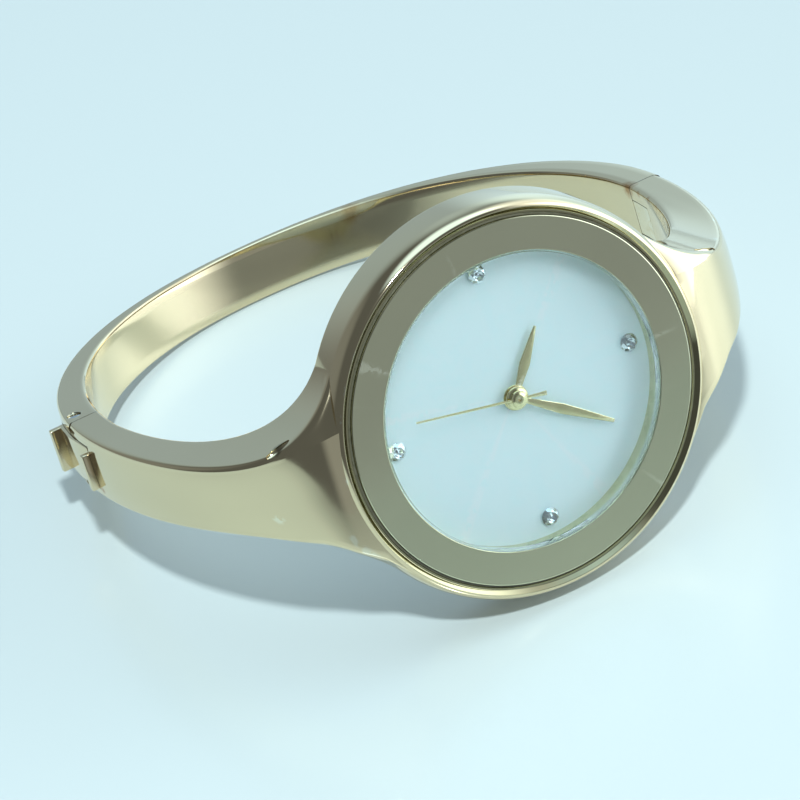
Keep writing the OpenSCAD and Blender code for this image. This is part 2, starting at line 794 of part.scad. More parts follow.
// An arbor with its pivots in the main plate and in the train bridge
module arbor() {
    translate([0, 0, pivot_low]) cylinder(h = plate_under + pivot_len - pivot_low, r = arbor_r);
}

module third_wheel() {
    color(brassy) rest_pose() translate([third_dist, 0, 0]) {
        wheel(third_n, third_m, level_2, wheel_t, 180 + 180 / third_n);
        wheel(pinion_n, centre_m, level_1, wheel_t, 180 + 180 / pinion_n);
        arbor();
    }
}

// Seconds wheel on the long centre arbor that carries the second hand
module seconds_wheel() {
    top = second_hand_z + hand_t;
    color(brassy) rest_pose() {
        wheel(seconds_n, seconds_m, level_3, wheel_t, 180);
        wheel(pinion_n, third_m, level_2, wheel_t, 0);
        translate([0, 0, pivot_low]) cylinder(h = top - pivot_low, r = seconds_r);
    }
}

module fifth_wheel() {
    color(brassy) rest_pose() translate([-fifth_dist, 0, 0]) {
        wheel(rotor_wheel_n, fifth_m, level_2, wheel_t, rotor_turn);
        wheel(pinion_n, seconds_m, level_3, wheel_t, 180 / pinion_n);
        arbor();
    }
}

// Rotor: a round magnet with a pinion under it
module rotor() {
    magnet_t = wheel_t + 0.1;
    color(dark) rest_pose() translate([rotor_at[0], rotor_at[1], 0]) {
        wheel(pinion_n, fifth_m, level_2, wheel_t, rotor_turn + 180 + 180 / pinion_n);
        translate([0, 0, level_1 + (wheel_t - magnet_t) / 2]) cylinder(h = magnet_t, r = rotor_r);
        arbor();
    }
}

// Stator: the soft iron plate round the rotor, reaching both ends of the coil
module stator() {
    w = 1.1;
    foot = coil_y - coil_r - 0.1;
    side = coil_y + 0.4;
    near = coil_x[1] + 0.05;
    far = coil_x[0] - 0.05;
    x = rotor_at[0];
    y = rotor_at[1];
    color(steel) rest_pose() translate([0, 0, level_1]) difference() {
        linear_extrude(height = wheel_t) polygon([[far - w, side], [far - w, y + w],
            [x - w, y - w], [x + w, y - 0.2], [x + 1.3 * w, y + 1.3 * w],
            [near, foot - 0.6], [near + w, foot], [near + w, side], [near, side],
            [near, foot], [x, foot - 0.4], [far, foot], [far, side]]);
        translate([x, y, -past]) cylinder(h = 2 * past, r = rotor_r + 0.12);
    }
}

// Coil: the copper winding on a core whose ends reach over the stator
module coil() {
    length = coil_x[1] - coil_x[0];
    core_w = 0.7;
    core_end = 1;
    core_low = -0.15;
    color([0.72, 0.4, 0.22]) rest_pose() translate([coil_x[0], coil_y, coil_axis_z]) {
        rotate([0, 90, 0]) cylinder(h = length, r = coil_r);
        translate([-core_end, -core_w / 2, core_low])
            cube([length + 2 * core_end, core_w, level_1 - seat_gap - coil_axis_z - core_low]);
    }
}

// Button cell, with its narrower cap towards the dial
module button_cell() {
    can_h = cell_h * 0.82;
    color(steel) rest_pose() translate([cell_at[0], cell_at[1], cell_low]) {
        cylinder(h = can_h, r = cell_r);
        cylinder(h = cell_h, r = cell_r - 0.35);
    }
}

// Clip: a thin strap over the button cell, with a leg on each side down to the main plate
module cell_clip() {
    reach = cell_r + 2 * cell_gap;
    low = cell_low - seat_gap - clip_t;
    color(steel) rest_pose() translate([cell_at[0], cell_at[1], low]) rotate([0, 0, cell_turn + 90]) {
        translate([-reach - clip_t, -clip_w / 2, 0])
            cube([2 * (reach + clip_t), clip_w, clip_t]);
        for (x = [-reach - clip_t, reach]) translate([x, -clip_w / 2, 0])
            cube([clip_t, clip_w, plate_under - seat_gap - low]);
    }
}

// Main plate with a recess for the motion work and holes for every arbor
module main_plate() {
    recess_out = motion_dist + motion_m * minute_n / 2 + 0.4;
    color(brassy) rest_pose() {
        difference() {
            translate([0, 0, plate_under]) cylinder(h = plate_t, r = plate_r);
            translate([0, 0, recess_z]) cylinder(h = past, r = recess_out);
            translate([0, 0, plate_under - past]) cylinder(h = 2 * past, r = cannon_r + run_gap);
            for (p = arbor_at) translate([p[0], p[1], plate_under - past])
                cylinder(h = past + pivot_len + seat_gap, r = arbor_r + run_gap);
            translate([cell_at[0], cell_at[1], plate_under - past])
                cylinder(h = 2 * past, r = cell_r + cell_gap);
            translate([0, -plate_r - past, -stem_depth]) rotate([-90, 0, 0])
                cylinder(h = plate_r + past + square_in + 2 * recess_gap, r = clutch_r + 0.1);
        }
        translate([0, motion_dist, recess_z - seat_gap])
            cylinder(h = motion_high + wheel_t - recess_z + seat_gap, r = post_r);
    }
}

// Train bridge: a round plate on three posts, with a hole for every arbor
module train_bridge() {
    color(steel) rest_pose() difference() {
        union() {
            translate([0, 0, bridge_under]) cylinder(h = bridge_t, r = bridge_r);
            for (p = bridge_posts) translate([p[0], p[1], bridge_under])
                cylinder(h = plate_under - seat_gap - bridge_under, r = bridge_post_r);
        }
        translate([0, 0, bridge_under - past]) cylinder(h = 2 * past, r = seconds_r + run_gap);
        for (p = arbor_at) translate([p[0], p[1], bridge_under - past])
            cylinder(h = 2 * past, r = arbor_r + run_gap);
        translate([cell_at[0], cell_at[1], bridge_under - past])
            cylinder(h = 2 * past, r = cell_r + cell_gap);
    }
}

// Circuit board: a sector beside the train bridge, under the quartz can
module circuit_board() {
    color([0.1, 0.35, 0.2]) rest_pose() translate([0, 0, bridge_top - board_t]) difference() {
        linear_extrude(height = board_t) polygon(concat([[0, 0]], [for (i = [0 : 12])
            let (q = board_arc[0] + (board_arc[1] - board_arc[0]) * i / 12)
            (plate_r - board_in) * [cos(q), sin(q)]]));
        translate([0, 0, -past]) cylinder(h = 2 * past, r = bridge_r + board_gap);
    }
}

module quartz_can() {
    color(steel) rest_pose() translate([can_at[0], can_at[1], plate_under - can_r - seat_gap])
        rotate([0, 90, 0]) cylinder(h = can_len, r = can_r);
}

// Plastic ring that centres the movement in the case
module movement_holder() {
    color([0.9, 0.9, 0.88]) rest_pose() difference() {
        ring_of(cavity_r - holder_gap, plate_r + seat_gap, flange_top + holder_gap,
            dial_under - seat_gap);
        translate([0, -case_r, -stem_depth]) rotate([-90, 0, 0])
            cylinder(h = case_r - plate_r + past, r = stem_hole_r);
    }
}

// Screws: one with a slotted head in each post of the train bridge
module movement_screws() {
    slot = 0.12;
    r = bridge_post_r - 0.05;
    color(steel) rest_pose() for (p = bridge_posts)
        translate([p[0], p[1], bridge_under - seat_gap - screw_head_t]) difference() {
            cylinder(h = screw_head_t, r = r);
            translate([-2 * r, -slot / 2, -past]) cube([4 * r, slot, past + screw_head_t / 2]);
        }
}

// Clutch pinion: turns with the stem, whose square slides through it
module clutch_pinion() {
    color(steel) rest_pose() translate([0, clutch_y, -stem_depth]) rotate([90, 0, 0])
        linear_extrude(height = clutch_len) difference() {
            polygon(teeth(clutch_n, clutch_r / (clutch_n / 2 + tooth_out)));
            square(square_w + 2 * seat_gap, center = true);
        }
}

// Stem: a round shaft in the crown, with a square that the clutch pinion rides on
module stem() {
    round_in = square_out + 0.1;
    color(steel) rest_pose() translate([0, 0, -stem_depth]) {
        translate([0, round_in, 0]) rotate([90, 0, 0])
            cylinder(h = round_in - crown_in + crown_bore - seat_gap, r = stem_r);
        translate([0, (square_out + square_in) / 2, 0])
            cube([square_w, square_in - square_out, square_w], center = true);
    }
}

// Crown: a ribbed knob that lies inside the wall's recess
module crown() {
    ribs = 24;
    rib = 0.1;
    color(gold) rest_pose() translate([0, crown_in, -stem_depth]) rotate([90, 0, 0])
        difference() {
            union() {
                linear_extrude(height = crown_len - crown_edge)
                    polygon([for (i = [0 : 2 * ribs - 1]) (i % 2 == 0 ? crown_r : crown_r - rib)
                        * [cos(180 * i / ribs), sin(180 * i / ribs)]]);
                rotate_extrude() polygon([[0, 0], [crown_r - rib, 0],
                    [crown_r - rib, crown_len - crown_edge],
                    [crown_r - rib - crown_edge, crown_len], [0, crown_len]]);
            }
            translate([0, 0, -past]) cylinder(h = past + crown_bore, r = stem_r + seat_gap);
        }
}

// Crown seal: a small ring round the stem in the case wall
module crown_seal() {
    middle = (cavity_r - crown_in - recess_gap) / 2;
    color(dark) rest_pose() translate([0, -middle, -stem_depth]) rotate([90, 0, 0])
        rotate_extrude() translate([stem_r + crown_seal_r + seat_gap, 0])
            circle(r = crown_seal_r, $fn = 24);
}

// Case back: a shallow pressed lid with a flange pressed into the case
module case_back() {
    inner_r = back_disc_r - 0.5;
    color(steel) rest_pose() rotate_extrude() polygon([[0, inside_z], [inner_r, inside_z],
        [inner_r, flange_top], [flange_r, flange_top], [flange_r, flange_under],
        [back_disc_r + 2 * back_edge, flange_under], [back_disc_r, back_under + back_edge],
        [back_disc_r - back_edge, back_under], [0, back_under]]);
}

module back_seal() {
    color(dark) rest_pose() ring_of(flange_r, cavity_r + flange_gap,
        flange_top + seat_gap, seat_top - seat_gap);
}

front_casting();
back_bangle();
hinge_pin();
clasp_pin();
latch_lever();
latch_spring();
catch_spring();
flat_ring();
ring_seal();
glass();
glass_seal();
dial();
dial_stones();
hour_hand();
minute_hand();
second_hand();
hour_wheel();
cannon_pinion();
minute_wheel();
centre_wheel();
third_wheel();
seconds_wheel();
fifth_wheel();
rotor();
stator();
coil();
button_cell();
cell_clip();
main_plate();
train_bridge();
circuit_board();
quartz_can();
movement_holder();
movement_screws();
clutch_pinion();
stem();
crown();
crown_seal();
case_back();
back_seal();
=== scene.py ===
import math

import bmesh
import bpy
import numpy as np
from mathutils import Euler, Matrix, Vector


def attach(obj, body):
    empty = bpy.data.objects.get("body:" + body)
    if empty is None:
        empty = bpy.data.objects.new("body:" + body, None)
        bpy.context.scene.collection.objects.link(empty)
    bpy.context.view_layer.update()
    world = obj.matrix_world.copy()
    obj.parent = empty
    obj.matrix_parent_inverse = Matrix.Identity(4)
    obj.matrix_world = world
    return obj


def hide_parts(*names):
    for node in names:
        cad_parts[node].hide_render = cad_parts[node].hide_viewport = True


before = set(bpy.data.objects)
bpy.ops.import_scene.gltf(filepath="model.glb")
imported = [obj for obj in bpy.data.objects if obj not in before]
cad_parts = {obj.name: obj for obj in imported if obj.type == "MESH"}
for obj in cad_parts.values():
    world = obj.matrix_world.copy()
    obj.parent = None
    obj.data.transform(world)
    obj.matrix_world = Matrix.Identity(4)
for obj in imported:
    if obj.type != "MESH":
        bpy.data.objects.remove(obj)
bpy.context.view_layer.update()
print("stage: frame loaded")

mm = 0.001  # metres in a millimetre
pose = {"tilt": 16.2949, "centreY": -26.3476, "lift": 19.422}  # resting pose of the case frame on the table


def poseMatrix():
    t = math.radians(pose["tilt"])
    s, c = math.sin(t), math.cos(t)
    return np.array([[1, 0, 0], [0, s, -c], [0, c, s]]), np.array([0, pose["centreY"], pose["lift"]])


turn, shift = poseMatrix()


def toTable(points):  # case frame in millimetres to the table's frame in metres
    return (np.asarray(points, float) @ turn.T + shift) * mm


# Mesh tools


def meshFrom(name, points, faces):
    mesh = bpy.data.meshes.new(name)
    mesh.from_pydata([tuple(p) for p in points], [], [tuple(f) for f in faces])
    mesh.update()
    obj = bpy.data.objects.new(name, mesh)
    bpy.context.collection.objects.link(obj)
    return obj


def circle(r, count, x=0, y=0):  # points of a circle, as rows of two numbers
    q = np.linspace(0, 2 * np.pi, count, endpoint=False)
    return np.c_[x + r * np.cos(q), y + r * np.sin(q)]


def spinProfile(name, profile, segments):  # closed profile of (radius, height) round the dial's axis
    prof = np.asarray(profile, float)
    count = len(prof)
    angle = np.linspace(0, 2 * np.pi, segments, endpoint=False)
    points, index = [], np.zeros((segments, count), int)
    pole = {}
    for j, (r, z) in enumerate(prof):
        if r < 1e-6:
            pole[j] = len(points)
            points.append((0, 0, z))
            index[:, j] = pole[j]
        else:
            index[:, j] = np.arange(segments) + len(points)
            points += [(r * math.cos(a), r * math.sin(a), z) for a in angle]
    faces = []
    for j in range(count):
        k = (j + 1) % count
        for i in range(segments):
            n = (i + 1) % segments
            quad = [index[i, j], index[n, j], index[n, k], index[i, k]]
            face = [q for m, q in enumerate(quad) if q != quad[m - 1]]
            if len(set(face)) >= 3:
                faces.append(face)
    obj = meshFrom(name, points, faces)
    faceOut(obj)
    return obj


def loftRings(name, rings):  # closed rings with the same count, capped at both ends
    rings = np.asarray(rings, float)
    rows, count = rings.shape[:2]
    points = rings.reshape(-1, 3)
    faces = [[i * count + j, i * count + (j + 1) % count, (i + 1) * count + (j + 1) % count, (i + 1) * count + j]
             for i in range(rows - 1) for j in range(count)]
    faces.append(list(range(count))[::-1])
    faces.append([(rows - 1) * count + j for j in range(count)])
    obj = meshFrom(name, points, faces)
    faceOut(obj)
    return obj


def prism(name, outline, low, high, axis="w"):  # outline of (u, n) along w, or of (u, w) along n
    if axis == "w":
        rings = [[(x, level, z) for x, z in outline] for level in (low, high)]
    else:
        rings = [[(x, y, level) for x, y in outline] for level in (low, high)]
    return loftRings(name, rings)


def block(name, low, high):
    outline = [(low[0], low[2]), (high[0], low[2]), (high[0], high[2]), (low[0], high[2])]
    return prism(name, outline, low[1], high[1])


def bar(name, x, z, r, low, high):  # round bar across the bangle
    return prism(name, circle(r, 64, x, z), low, high)


def faceOut(obj):
    bm = bmesh.new()
    bm.from_mesh(obj.data)
    bmesh.ops.recalc_face_normals(bm, faces=bm.faces[:])
    bm.to_mesh(obj.data)
    bm.free()


def applyModifiers(obj):
    old = obj.data
    result = bpy.data.meshes.new_from_object(obj.evaluated_get(bpy.context.evaluated_depsgraph_get()))
    obj.modifiers.clear()
    obj.data = result
    bpy.data.meshes.remove(old)
    return obj


def combine(obj, other, how):
    cut = obj.modifiers.new("cut", "BOOLEAN")
    cut.operation = how
    cut.solver = "MANIFOLD"
    cut.object = other
    applyModifiers(obj)
    bpy.data.objects.remove(other)
    return obj


def cutAway(obj, *others):
    for other in others:
        combine(obj, other, "DIFFERENCE")
    return obj


def bevel(obj, width, segments):
    step = obj.modifiers.new("bevel", "BEVEL")
    step.width = width
    step.segments = segments
    step.limit_method = "ANGLE"
    step.angle_limit = math.radians(30)
    return applyModifiers(obj)


def finishPiece(obj, material, body, nodes, sharp):  # onto the table, shaded smooth up to an angle
    mesh = obj.data
    mesh.transform(Matrix([[*turn[i] * mm, shift[i] * mm] for i in range(3)] + [[0, 0, 0, 1]]))
    bm = bmesh.new()
    bm.from_mesh(mesh)
    bmesh.ops.remove_doubles(bm, verts=bm.verts[:], dist=2e-7)
    for face in bm.faces:
        face.smooth = True
        face.material_index = 0
    for edge in bm.edges:
        if len(edge.link_faces) == 2:
            edge.smooth = edge.calc_face_angle(0) <= math.radians(sharp)
    bm.to_mesh(mesh)
    bm.free()
    mesh.materials.clear()
    mesh.materials.append(material)
    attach(obj, body)
    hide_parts(*nodes)
    return obj


def arc(x, y, r, low, high, steps):  # points of an arc between two angles in degrees
    return [(x + r * math.cos(a), y + r * math.sin(a)) for a in np.radians(np.linspace(low, high, steps))]


# Material tools


def newMaterial(name):
    mat = bpy.data.materials.new(name)
    mat.use_nodes = True
    tree = mat.node_tree
    tree.nodes.clear()
    out = tree.nodes.new("ShaderNodeOutputMaterial")
    shader = tree.nodes.new("ShaderNodeBsdfPrincipled")
    tree.links.new(shader.outputs[0], out.inputs[0])
    return mat, tree, shader


def wire(tree, socket, value):  # sets a number or a colour, or links an output
    if isinstance(value, bpy.types.NodeSocket):
        tree.links.new(value, socket)
    else:
        socket.default_value = value


def calc(tree, operation, *values, kind="ShaderNodeMath", output=0):
    node = tree.nodes.new(kind)
    node.operation = operation
    for i, value in enumerate(values):
        wire(tree, node.inputs[i], value)
    return node.outputs[output]


def vectorCalc(tree, operation, *values, output="Value"):
    return calc(tree, operation, *values, kind="ShaderNodeVectorMath", output=output)


def noise(tree, scale, detail=2.0, rough=0.5):  # from the place on the object
    place = tree.nodes.new("ShaderNodeTexCoord")
    node = tree.nodes.new("ShaderNodeTexNoise")
    wire(tree, node.inputs["Vector"], place.outputs["Object"])
    wire(tree, node.inputs["Scale"], scale)
    wire(tree, node.inputs["Detail"], detail)
    wire(tree, node.inputs["Roughness"], rough)
    return node.outputs[0]


def mapRange(tree, value, low=0, high=1, toLow=0, toHigh=1, smooth=False):
    node = tree.nodes.new("ShaderNodeMapRange")
    node.interpolation_type = "SMOOTHSTEP" if smooth else "LINEAR"
    values = {"Value": value, "From Min": low, "From Max": high, "To Min": toLow, "To Max": toHigh}
    for label, given in values.items():
        wire(tree, node.inputs[label], given)
    return node.outputs[0]


def mixColor(tree, share, a, b):
    node = tree.nodes.new("ShaderNodeMix")
    node.data_type = "RGBA"
    for label, given in (("Factor", share), ("A", a), ("B", b)):
        wire(tree, node.inputs[label], given)
    return node.outputs["Result"]


def nodeGroup(name, kind, inputs, outputs):  # new node group, the sockets of its input and of its output
    tree = bpy.data.node_groups.new(name, kind)
    for way, sockets in (("INPUT", inputs), ("OUTPUT", outputs)):
        for label, kind in sockets.items():
            tree.interface.new_socket(name=label, in_out=way, socket_type="NodeSocket" + kind)
    return tree, tree.nodes.new("NodeGroupInput").outputs, tree.nodes.new("NodeGroupOutput").inputs


surfaceLook = {"wornFrom": 0.53, "wornTo": 0.62, "patchy": 0.46, "wornRough": 0.08, "ragged": 1500,
               "spotEnd": 1.5, "spotFull": 0.8, "bumpDepth": 0.1, "clearScale": 400, "clearSpread": 0.02}


def polishGroup():  # colour drift, fine brushing, faint scratches and worn edges of plated metal
    numbers = ("Drift", "Drift Scale", "Rough", "Rough Spread", "Ripple", "Ripple Scale", "Scratch", "Scratch Scale")
    inputs = {"Color": "Color", "Worn": "Color", **{label: "Float" for label in numbers}}
    outputs = {"Color": "Color", "Roughness": "Float", "Height": "Float"}
    tree, given, out = nodeGroup("metalSurface", "ShaderNodeTree", inputs, outputs)
    wide = noise(tree, given["Drift Scale"])
    fine = noise(tree, given["Ripple Scale"], 3.0)
    hair = noise(tree, given["Scratch Scale"], 4.0, 0.7)
    drifted = tree.nodes.new("ShaderNodeHueSaturation")
    wire(tree, drifted.inputs["Color"], given["Color"])
    reach = calc(tree, "MULTIPLY", given["Drift"], 4)
    wire(tree, drifted.inputs["Value"], calc(tree, "MULTIPLY_ADD", calc(tree, "SUBTRACT", wide, 0.5), reach, 1))
    geometry = tree.nodes.new("ShaderNodeNewGeometry")
    edge = mapRange(tree, geometry.outputs["Pointiness"], surfaceLook["wornFrom"], surfaceLook["wornTo"])
    wear = calc(tree, "MULTIPLY", edge, calc(tree, "GREATER_THAN", hair, surfaceLook["patchy"]))
    wire(tree, out["Color"], mixColor(tree, wear, drifted.outputs[0], given["Worn"]))
    spread = calc(tree, "MULTIPLY", given["Rough Spread"], 2)
    base = calc(tree, "MULTIPLY_ADD", calc(tree, "SUBTRACT", fine, 0.5), spread, given["Rough"])
    wire(tree, out["Roughness"], calc(tree, "MULTIPLY_ADD", wear, surfaceLook["wornRough"], base))
    ripple = calc(tree, "MULTIPLY", given["Ripple"], fine)
    wire(tree, out["Height"], calc(tree, "MULTIPLY_ADD", hair, given["Scratch"], ripple))
    return tree


def maskGroup(name, numbers, build):  # mixes a second colour in, by a mask from the place on the object
    inputs = {"Color": "Color", "Mark": "Color", "Center": "Vector", **numbers}
    tree, given, out = nodeGroup(name, "ShaderNodeTree", inputs, {"Color": "Color"})
    place = tree.nodes.new("ShaderNodeTexCoord").outputs["Object"]
    wire(tree, out["Color"], mixColor(tree, build(tree, place, given), given["Color"], given["Mark"]))
    return tree


def spotMask(tree, place, given):  # ragged round spot
    away = calc(tree, "DIVIDE", vectorCalc(tree, "DISTANCE", place, given["Center"]), given["Radius"])
    ragged = calc(tree, "ADD", away, noise(tree, surfaceLook["ragged"]))
    shown = mapRange(tree, ragged, surfaceLook["spotEnd"], surfaceLook["spotFull"])
    return calc(tree, "MULTIPLY", shown, given["Amount"])


def rimMask(tree, place, given):  # flat band round an axis
    arm = vectorCalc(tree, "SUBTRACT", place, given["Center"], output="Vector")
    height = vectorCalc(tree, "DOT_PRODUCT", arm, given["Axis"])
    reach = vectorCalc(tree, "LENGTH", arm)
    squares = [calc(tree, "POWER", value, 2) for value in (reach, height)]
    radius = calc(tree, "SQRT", calc(tree, "SUBTRACT", *squares))
    inside = calc(tree, "MULTIPLY", calc(tree, "GREATER_THAN", radius, given["Inner"]),
                  calc(tree, "LESS_THAN", radius, given["Outer"]))
    return calc(tree, "MULTIPLY", inside, calc(tree, "GREATER_THAN", height, given["Low"]))


metalSurface = polishGroup()
spotGroup = maskGroup("tarnishAndShadeSpot", {"Radius": "Float", "Amount": "Float"}, spotMask)
rimGroup = maskGroup("rimShade", {"Axis": "Vector", "Inner": "Float", "Outer": "Float", "Low": "Float"}, rimMask)


def addMask(mat, group, values):  # puts a mask group before the colour of a material
    tree = mat.node_tree
    shader = next(n for n in tree.nodes if n.type == "BSDF_PRINCIPLED")
    before = shader.inputs["Base Color"].links[0].from_socket
    node = tree.nodes.new("ShaderNodeGroup")
    node.node_tree = group
    for label, value in values.items():
        node.inputs[label].default_value = value
    tree.links.new(before, node.inputs["Color"])
    tree.links.new(node.outputs["Color"], shader.inputs["Base Color"])


def metal(name, color, worn, rough=0.08, spread=0.05, drift=0.05, driftScale=60, ripple=0.1, rippleScale=150,
          scratch=0.05, scratchScale=900, bump=0.05, metallic=1.0, coat=0.0):
    mat, tree, shader = newMaterial(name)
    surface = tree.nodes.new("ShaderNodeGroup")
    surface.node_tree = metalSurface
    values = {"Color": (*color, 1), "Worn": (*worn, 1), "Drift": drift, "Drift Scale": driftScale, "Rough": rough,
              "Rough Spread": spread, "Ripple": ripple, "Ripple Scale": rippleScale, "Scratch": scratch,
              "Scratch Scale": scratchScale}
    for label, value in values.items():
        surface.inputs[label].default_value = value
    shader.inputs["Metallic"].default_value = metallic
    shader.inputs["Coat Weight"].default_value = coat
    tree.links.new(surface.outputs["Color"], shader.inputs["Base Color"])
    tree.links.new(surface.outputs["Roughness"], shader.inputs["Roughness"])
    relief = tree.nodes.new("ShaderNodeBump")
    relief.inputs["Strength"].default_value = bump
    relief.inputs["Distance"].default_value = surfaceLook["bumpDepth"] * mm
    tree.links.new(surface.outputs["Height"], relief.inputs["Height"])
    tree.links.new(relief.outputs[0], shader.inputs["Normal"])
    return mat


def clear(name, color, ior, rough=0.0):
    mat, tree, shader = newMaterial(name)
    shader.inputs["Base Color"].default_value = (*color, 1)
    shader.inputs["Transmission Weight"].default_value = 1
    shader.inputs["IOR"].default_value = ior
    grain = noise(tree, surfaceLook["clearScale"])
    most = rough + surfaceLook["clearSpread"]
    wire(tree, shader.inputs["Roughness"], mapRange(tree, grain, toLow=rough, toHigh=most))
    return mat


gold = metal("paleGold", (0.76, 0.64, 0.415), (0.85, 0.78, 0.58), rough=0.07, spread=0.04, drift=0.03, bump=0.04)
handGold = metal("handGold", (0.80, 0.72, 0.42), (0.92, 0.86, 0.62), rough=0.16, spread=0.06, rippleScale=900,
                 scratchScale=4000)
ringMetal = metal("mirrorRing", (0.66, 0.64, 0.44), (0.76, 0.73, 0.54), rough=0.12, spread=0.03, drift=0.02,
                  bump=0.02)
steel = metal("pinSteel", (0.55, 0.58, 0.58), (0.8, 0.82, 0.82), rough=0.16, rippleScale=700)
springMetal = metal("springSteel", (0.5, 0.51, 0.53), (0.7, 0.7, 0.7), rough=0.25, rippleScale=700)
wheelBrass = metal("wheelBrass", (0.78, 0.63, 0.33), (0.9, 0.8, 0.55), rough=0.25, spread=0.1, rippleScale=1200)
plateBrass = metal("plateBrass", (0.72, 0.62, 0.40), (0.85, 0.78, 0.6), rough=0.34, spread=0.12, rippleScale=700,
                   scratch=0.3)
bridgeSteel = metal("bridgeSteel", (0.66, 0.67, 0.69), (0.85, 0.85, 0.86), rough=0.28, spread=0.1, rippleScale=700,
                    scratch=0.3)
cellSteel = metal("cellSteel", (0.74, 0.75, 0.76), (0.86, 0.86, 0.87), rough=0.22, spread=0.08, rippleScale=500)
backSteel = metal("backSteel", (0.8, 0.8, 0.76), (0.84, 0.84, 0.85), rough=0.3, spread=0.08, rippleScale=260,
                  scratch=0.4)
statorIron = metal("statorIron", (0.52, 0.53, 0.55), (0.7, 0.7, 0.72), rough=0.38, rippleScale=900)
magnetMetal = metal("magnet", (0.2, 0.2, 0.21), (0.4, 0.4, 0.42), rough=0.5, rippleScale=1500, bump=0.2)
copper = metal("copperWinding", (0.72, 0.33, 0.17), (0.85, 0.5, 0.3), rough=0.3, rippleScale=3000, ripple=0.6,
               bump=0.3, coat=0.6)
boardGreen = metal("boardGreen", (0.03, 0.22, 0.09), (0.2, 0.4, 0.22), rough=0.35, metallic=0.0, rippleScale=1200,
                   coat=0.4)
holderWhite = metal("holderPlastic", (0.85, 0.85, 0.82), (0.92, 0.92, 0.9), rough=0.5, metallic=0.0, rippleScale=900,
                    bump=0.15)
sealBlack = metal("sealRubber", (0.075, 0.07, 0.04), (0.12, 0.11, 0.07), rough=0.4, metallic=0.0, rippleScale=2000,
                  bump=0.2)
dialWhite = metal("dialWhite", (0.82, 0.97, 0.97), (0.88, 0.97, 0.97), rough=0.38, spread=0.04, drift=0.01,
                  metallic=0.0, rippleScale=1500, coat=0.2)
glassClear = clear("mineralGlass", (0.97, 1.0, 0.995), 1.1)
sealClear = clear("clearSeal", (0.9, 0.95, 0.94), 1.3, rough=0.2)
crystalFoil = metal("crystalFoil", (0.78, 0.84, 0.86), (0.9, 0.94, 0.95), rough=0.05, spread=0.02, rippleScale=2500,
                    bump=0.05, metallic=0.85, coat=0.6)

# Each spot: colour, place in the case frame, radius, strength
marks = {"tarnish": (0.42, 0.2, 0.05), "scoopShade": (0.07, 0.07, 0.05), "rim": (0.42, 0.38, 0.23),
         # radii and lowest height of the band of painted shade on the case's rim top
         "rimInner": 17.05, "rimOuter": 17.97, "rimLow": -0.5,
         "spots": [("tarnish", (28.2, 3.0, -29.2), 1.2, 0.8),
                   ("tarnish", (27.9, 3.0, -26.8), 0.5, 0.7),
                   ("tarnish", (27.6, 3.0, -24.2), 0.45, 0.6),
                   ("tarnish", (27.05, 3.0, -21.6), 0.4, 0.5),
                   ("tarnish", (-31.5, -2.2, -28.55), 0.45, 0.9),
                   ("tarnish", (-31.6, -0.4, -28.65), 0.35, 0.8),
                   ("tarnish", (-31.6, 1.6, -28.65), 0.4, 0.8),
                   ("tarnish", (10.4, 2.2, -56.8), 1.3, 0.5),
                   ("tarnish", (-29.2, 3.0, -33.5), 0.35, 0.6),
                   # painted shade: a near-black spot in the hollow of the left arm's scoop
                   ("scoopShade", (-22.45, 4.6, -3.3), 0.8, 0.9)]}
# tarnish spots, and one spot of painted shade, mixed into the gold's colour
for label, spot, radius, amount in marks["spots"]:
    addMask(gold, spotGroup, {"Mark": (*marks[label], 1), "Center": toTable(spot), "Radius": radius * mm,
                              "Amount": amount})
# painted shade: a darker band over the top of the case's rim
addMask(gold, rimGroup, {"Mark": (*marks["rim"], 1), "Center": toTable((0, 0, 0)), "Axis": turn[:, 2],
                         "Inner": marks["rimInner"] * mm, "Outer": marks["rimOuter"] * mm,
                         "Low": marks["rimLow"] * mm})
print("stage: materials made")

# Side view of the bangle, as in the CAD model

caseSizes = {"caseR": 18.75, "wallH": 5.5, "rimR": 17.95, "shoulderH": 2.2, "boreR": 17.35, "cavityR": 16.35,
             "flangeR": 16.7, "seatTop": -4.8, "dialUnder": -2.8, "edge": 0.3, "crownZ": -4.1, "crownRoom": 1.15,
             "stemRoom": 0.6}
bangle = {"inHalf": 28.2, "outHalf": 31.6, "widest": -28.7, "farIn": -58.3, "farOut": -59.3, "oval": 2.18,
          "armW": 6.6, "backW": 5.8, "taperStart": 5.0, "blendR": 14.4, "blendIn": 0.04}
hinge = {"x": 30.35, "z": -27.3, "ear": 1.5, "shoulder": -28.8, "tongueW": 3.5, "reach": 2.0, "gap": 0.1, "pin": 0.7}
clasp = {"z": -33.5, "x": -29.95, "pinZ": -35.1, "pin": 0.7, "hub": 1.05, "slotW": 4.5, "leverW": 4.3, "top": -31.6,
         "front": -29.05, "end": -37.2, "channelX": -29.0, "drop": 0.5}
pins = {"radius": 0.68, "bore": 0.73, "clasp": (-3.15, 3.15, 0.14), "hinge": (-3.28, 2.58, 0.1)}  # ends, dome
outerArm = np.array([[18.6, -0.3], [25.35, -1.1], [31.6, -14.063], [31.6, -28.7]])
innerArm = np.array([[15.15, -5.5], [21.4, -6.4], [27.4, -16.216], [28.2, -28.7]])
outDepth, inDepth = bangle["widest"] - bangle["farOut"], bangle["widest"] - bangle["farIn"]


def bezier(p, t):
    t = np.asarray(t, float)[..., None]
    return p[0] * (1 - t) ** 3 + 3 * p[1] * t * (1 - t) ** 2 + 3 * p[2] * t * t * (1 - t) + p[3] * t ** 3


def power(v, e):
    return np.sign(v) * np.abs(v) ** e


def ovalPoint(a, depth, q):  # q from 0 at the right side to -pi at the left side
    e = 2 / bangle["oval"]
    return np.stack([a * power(np.cos(q), e), bangle["widest"] + depth * power(np.sin(q), e)], -1)


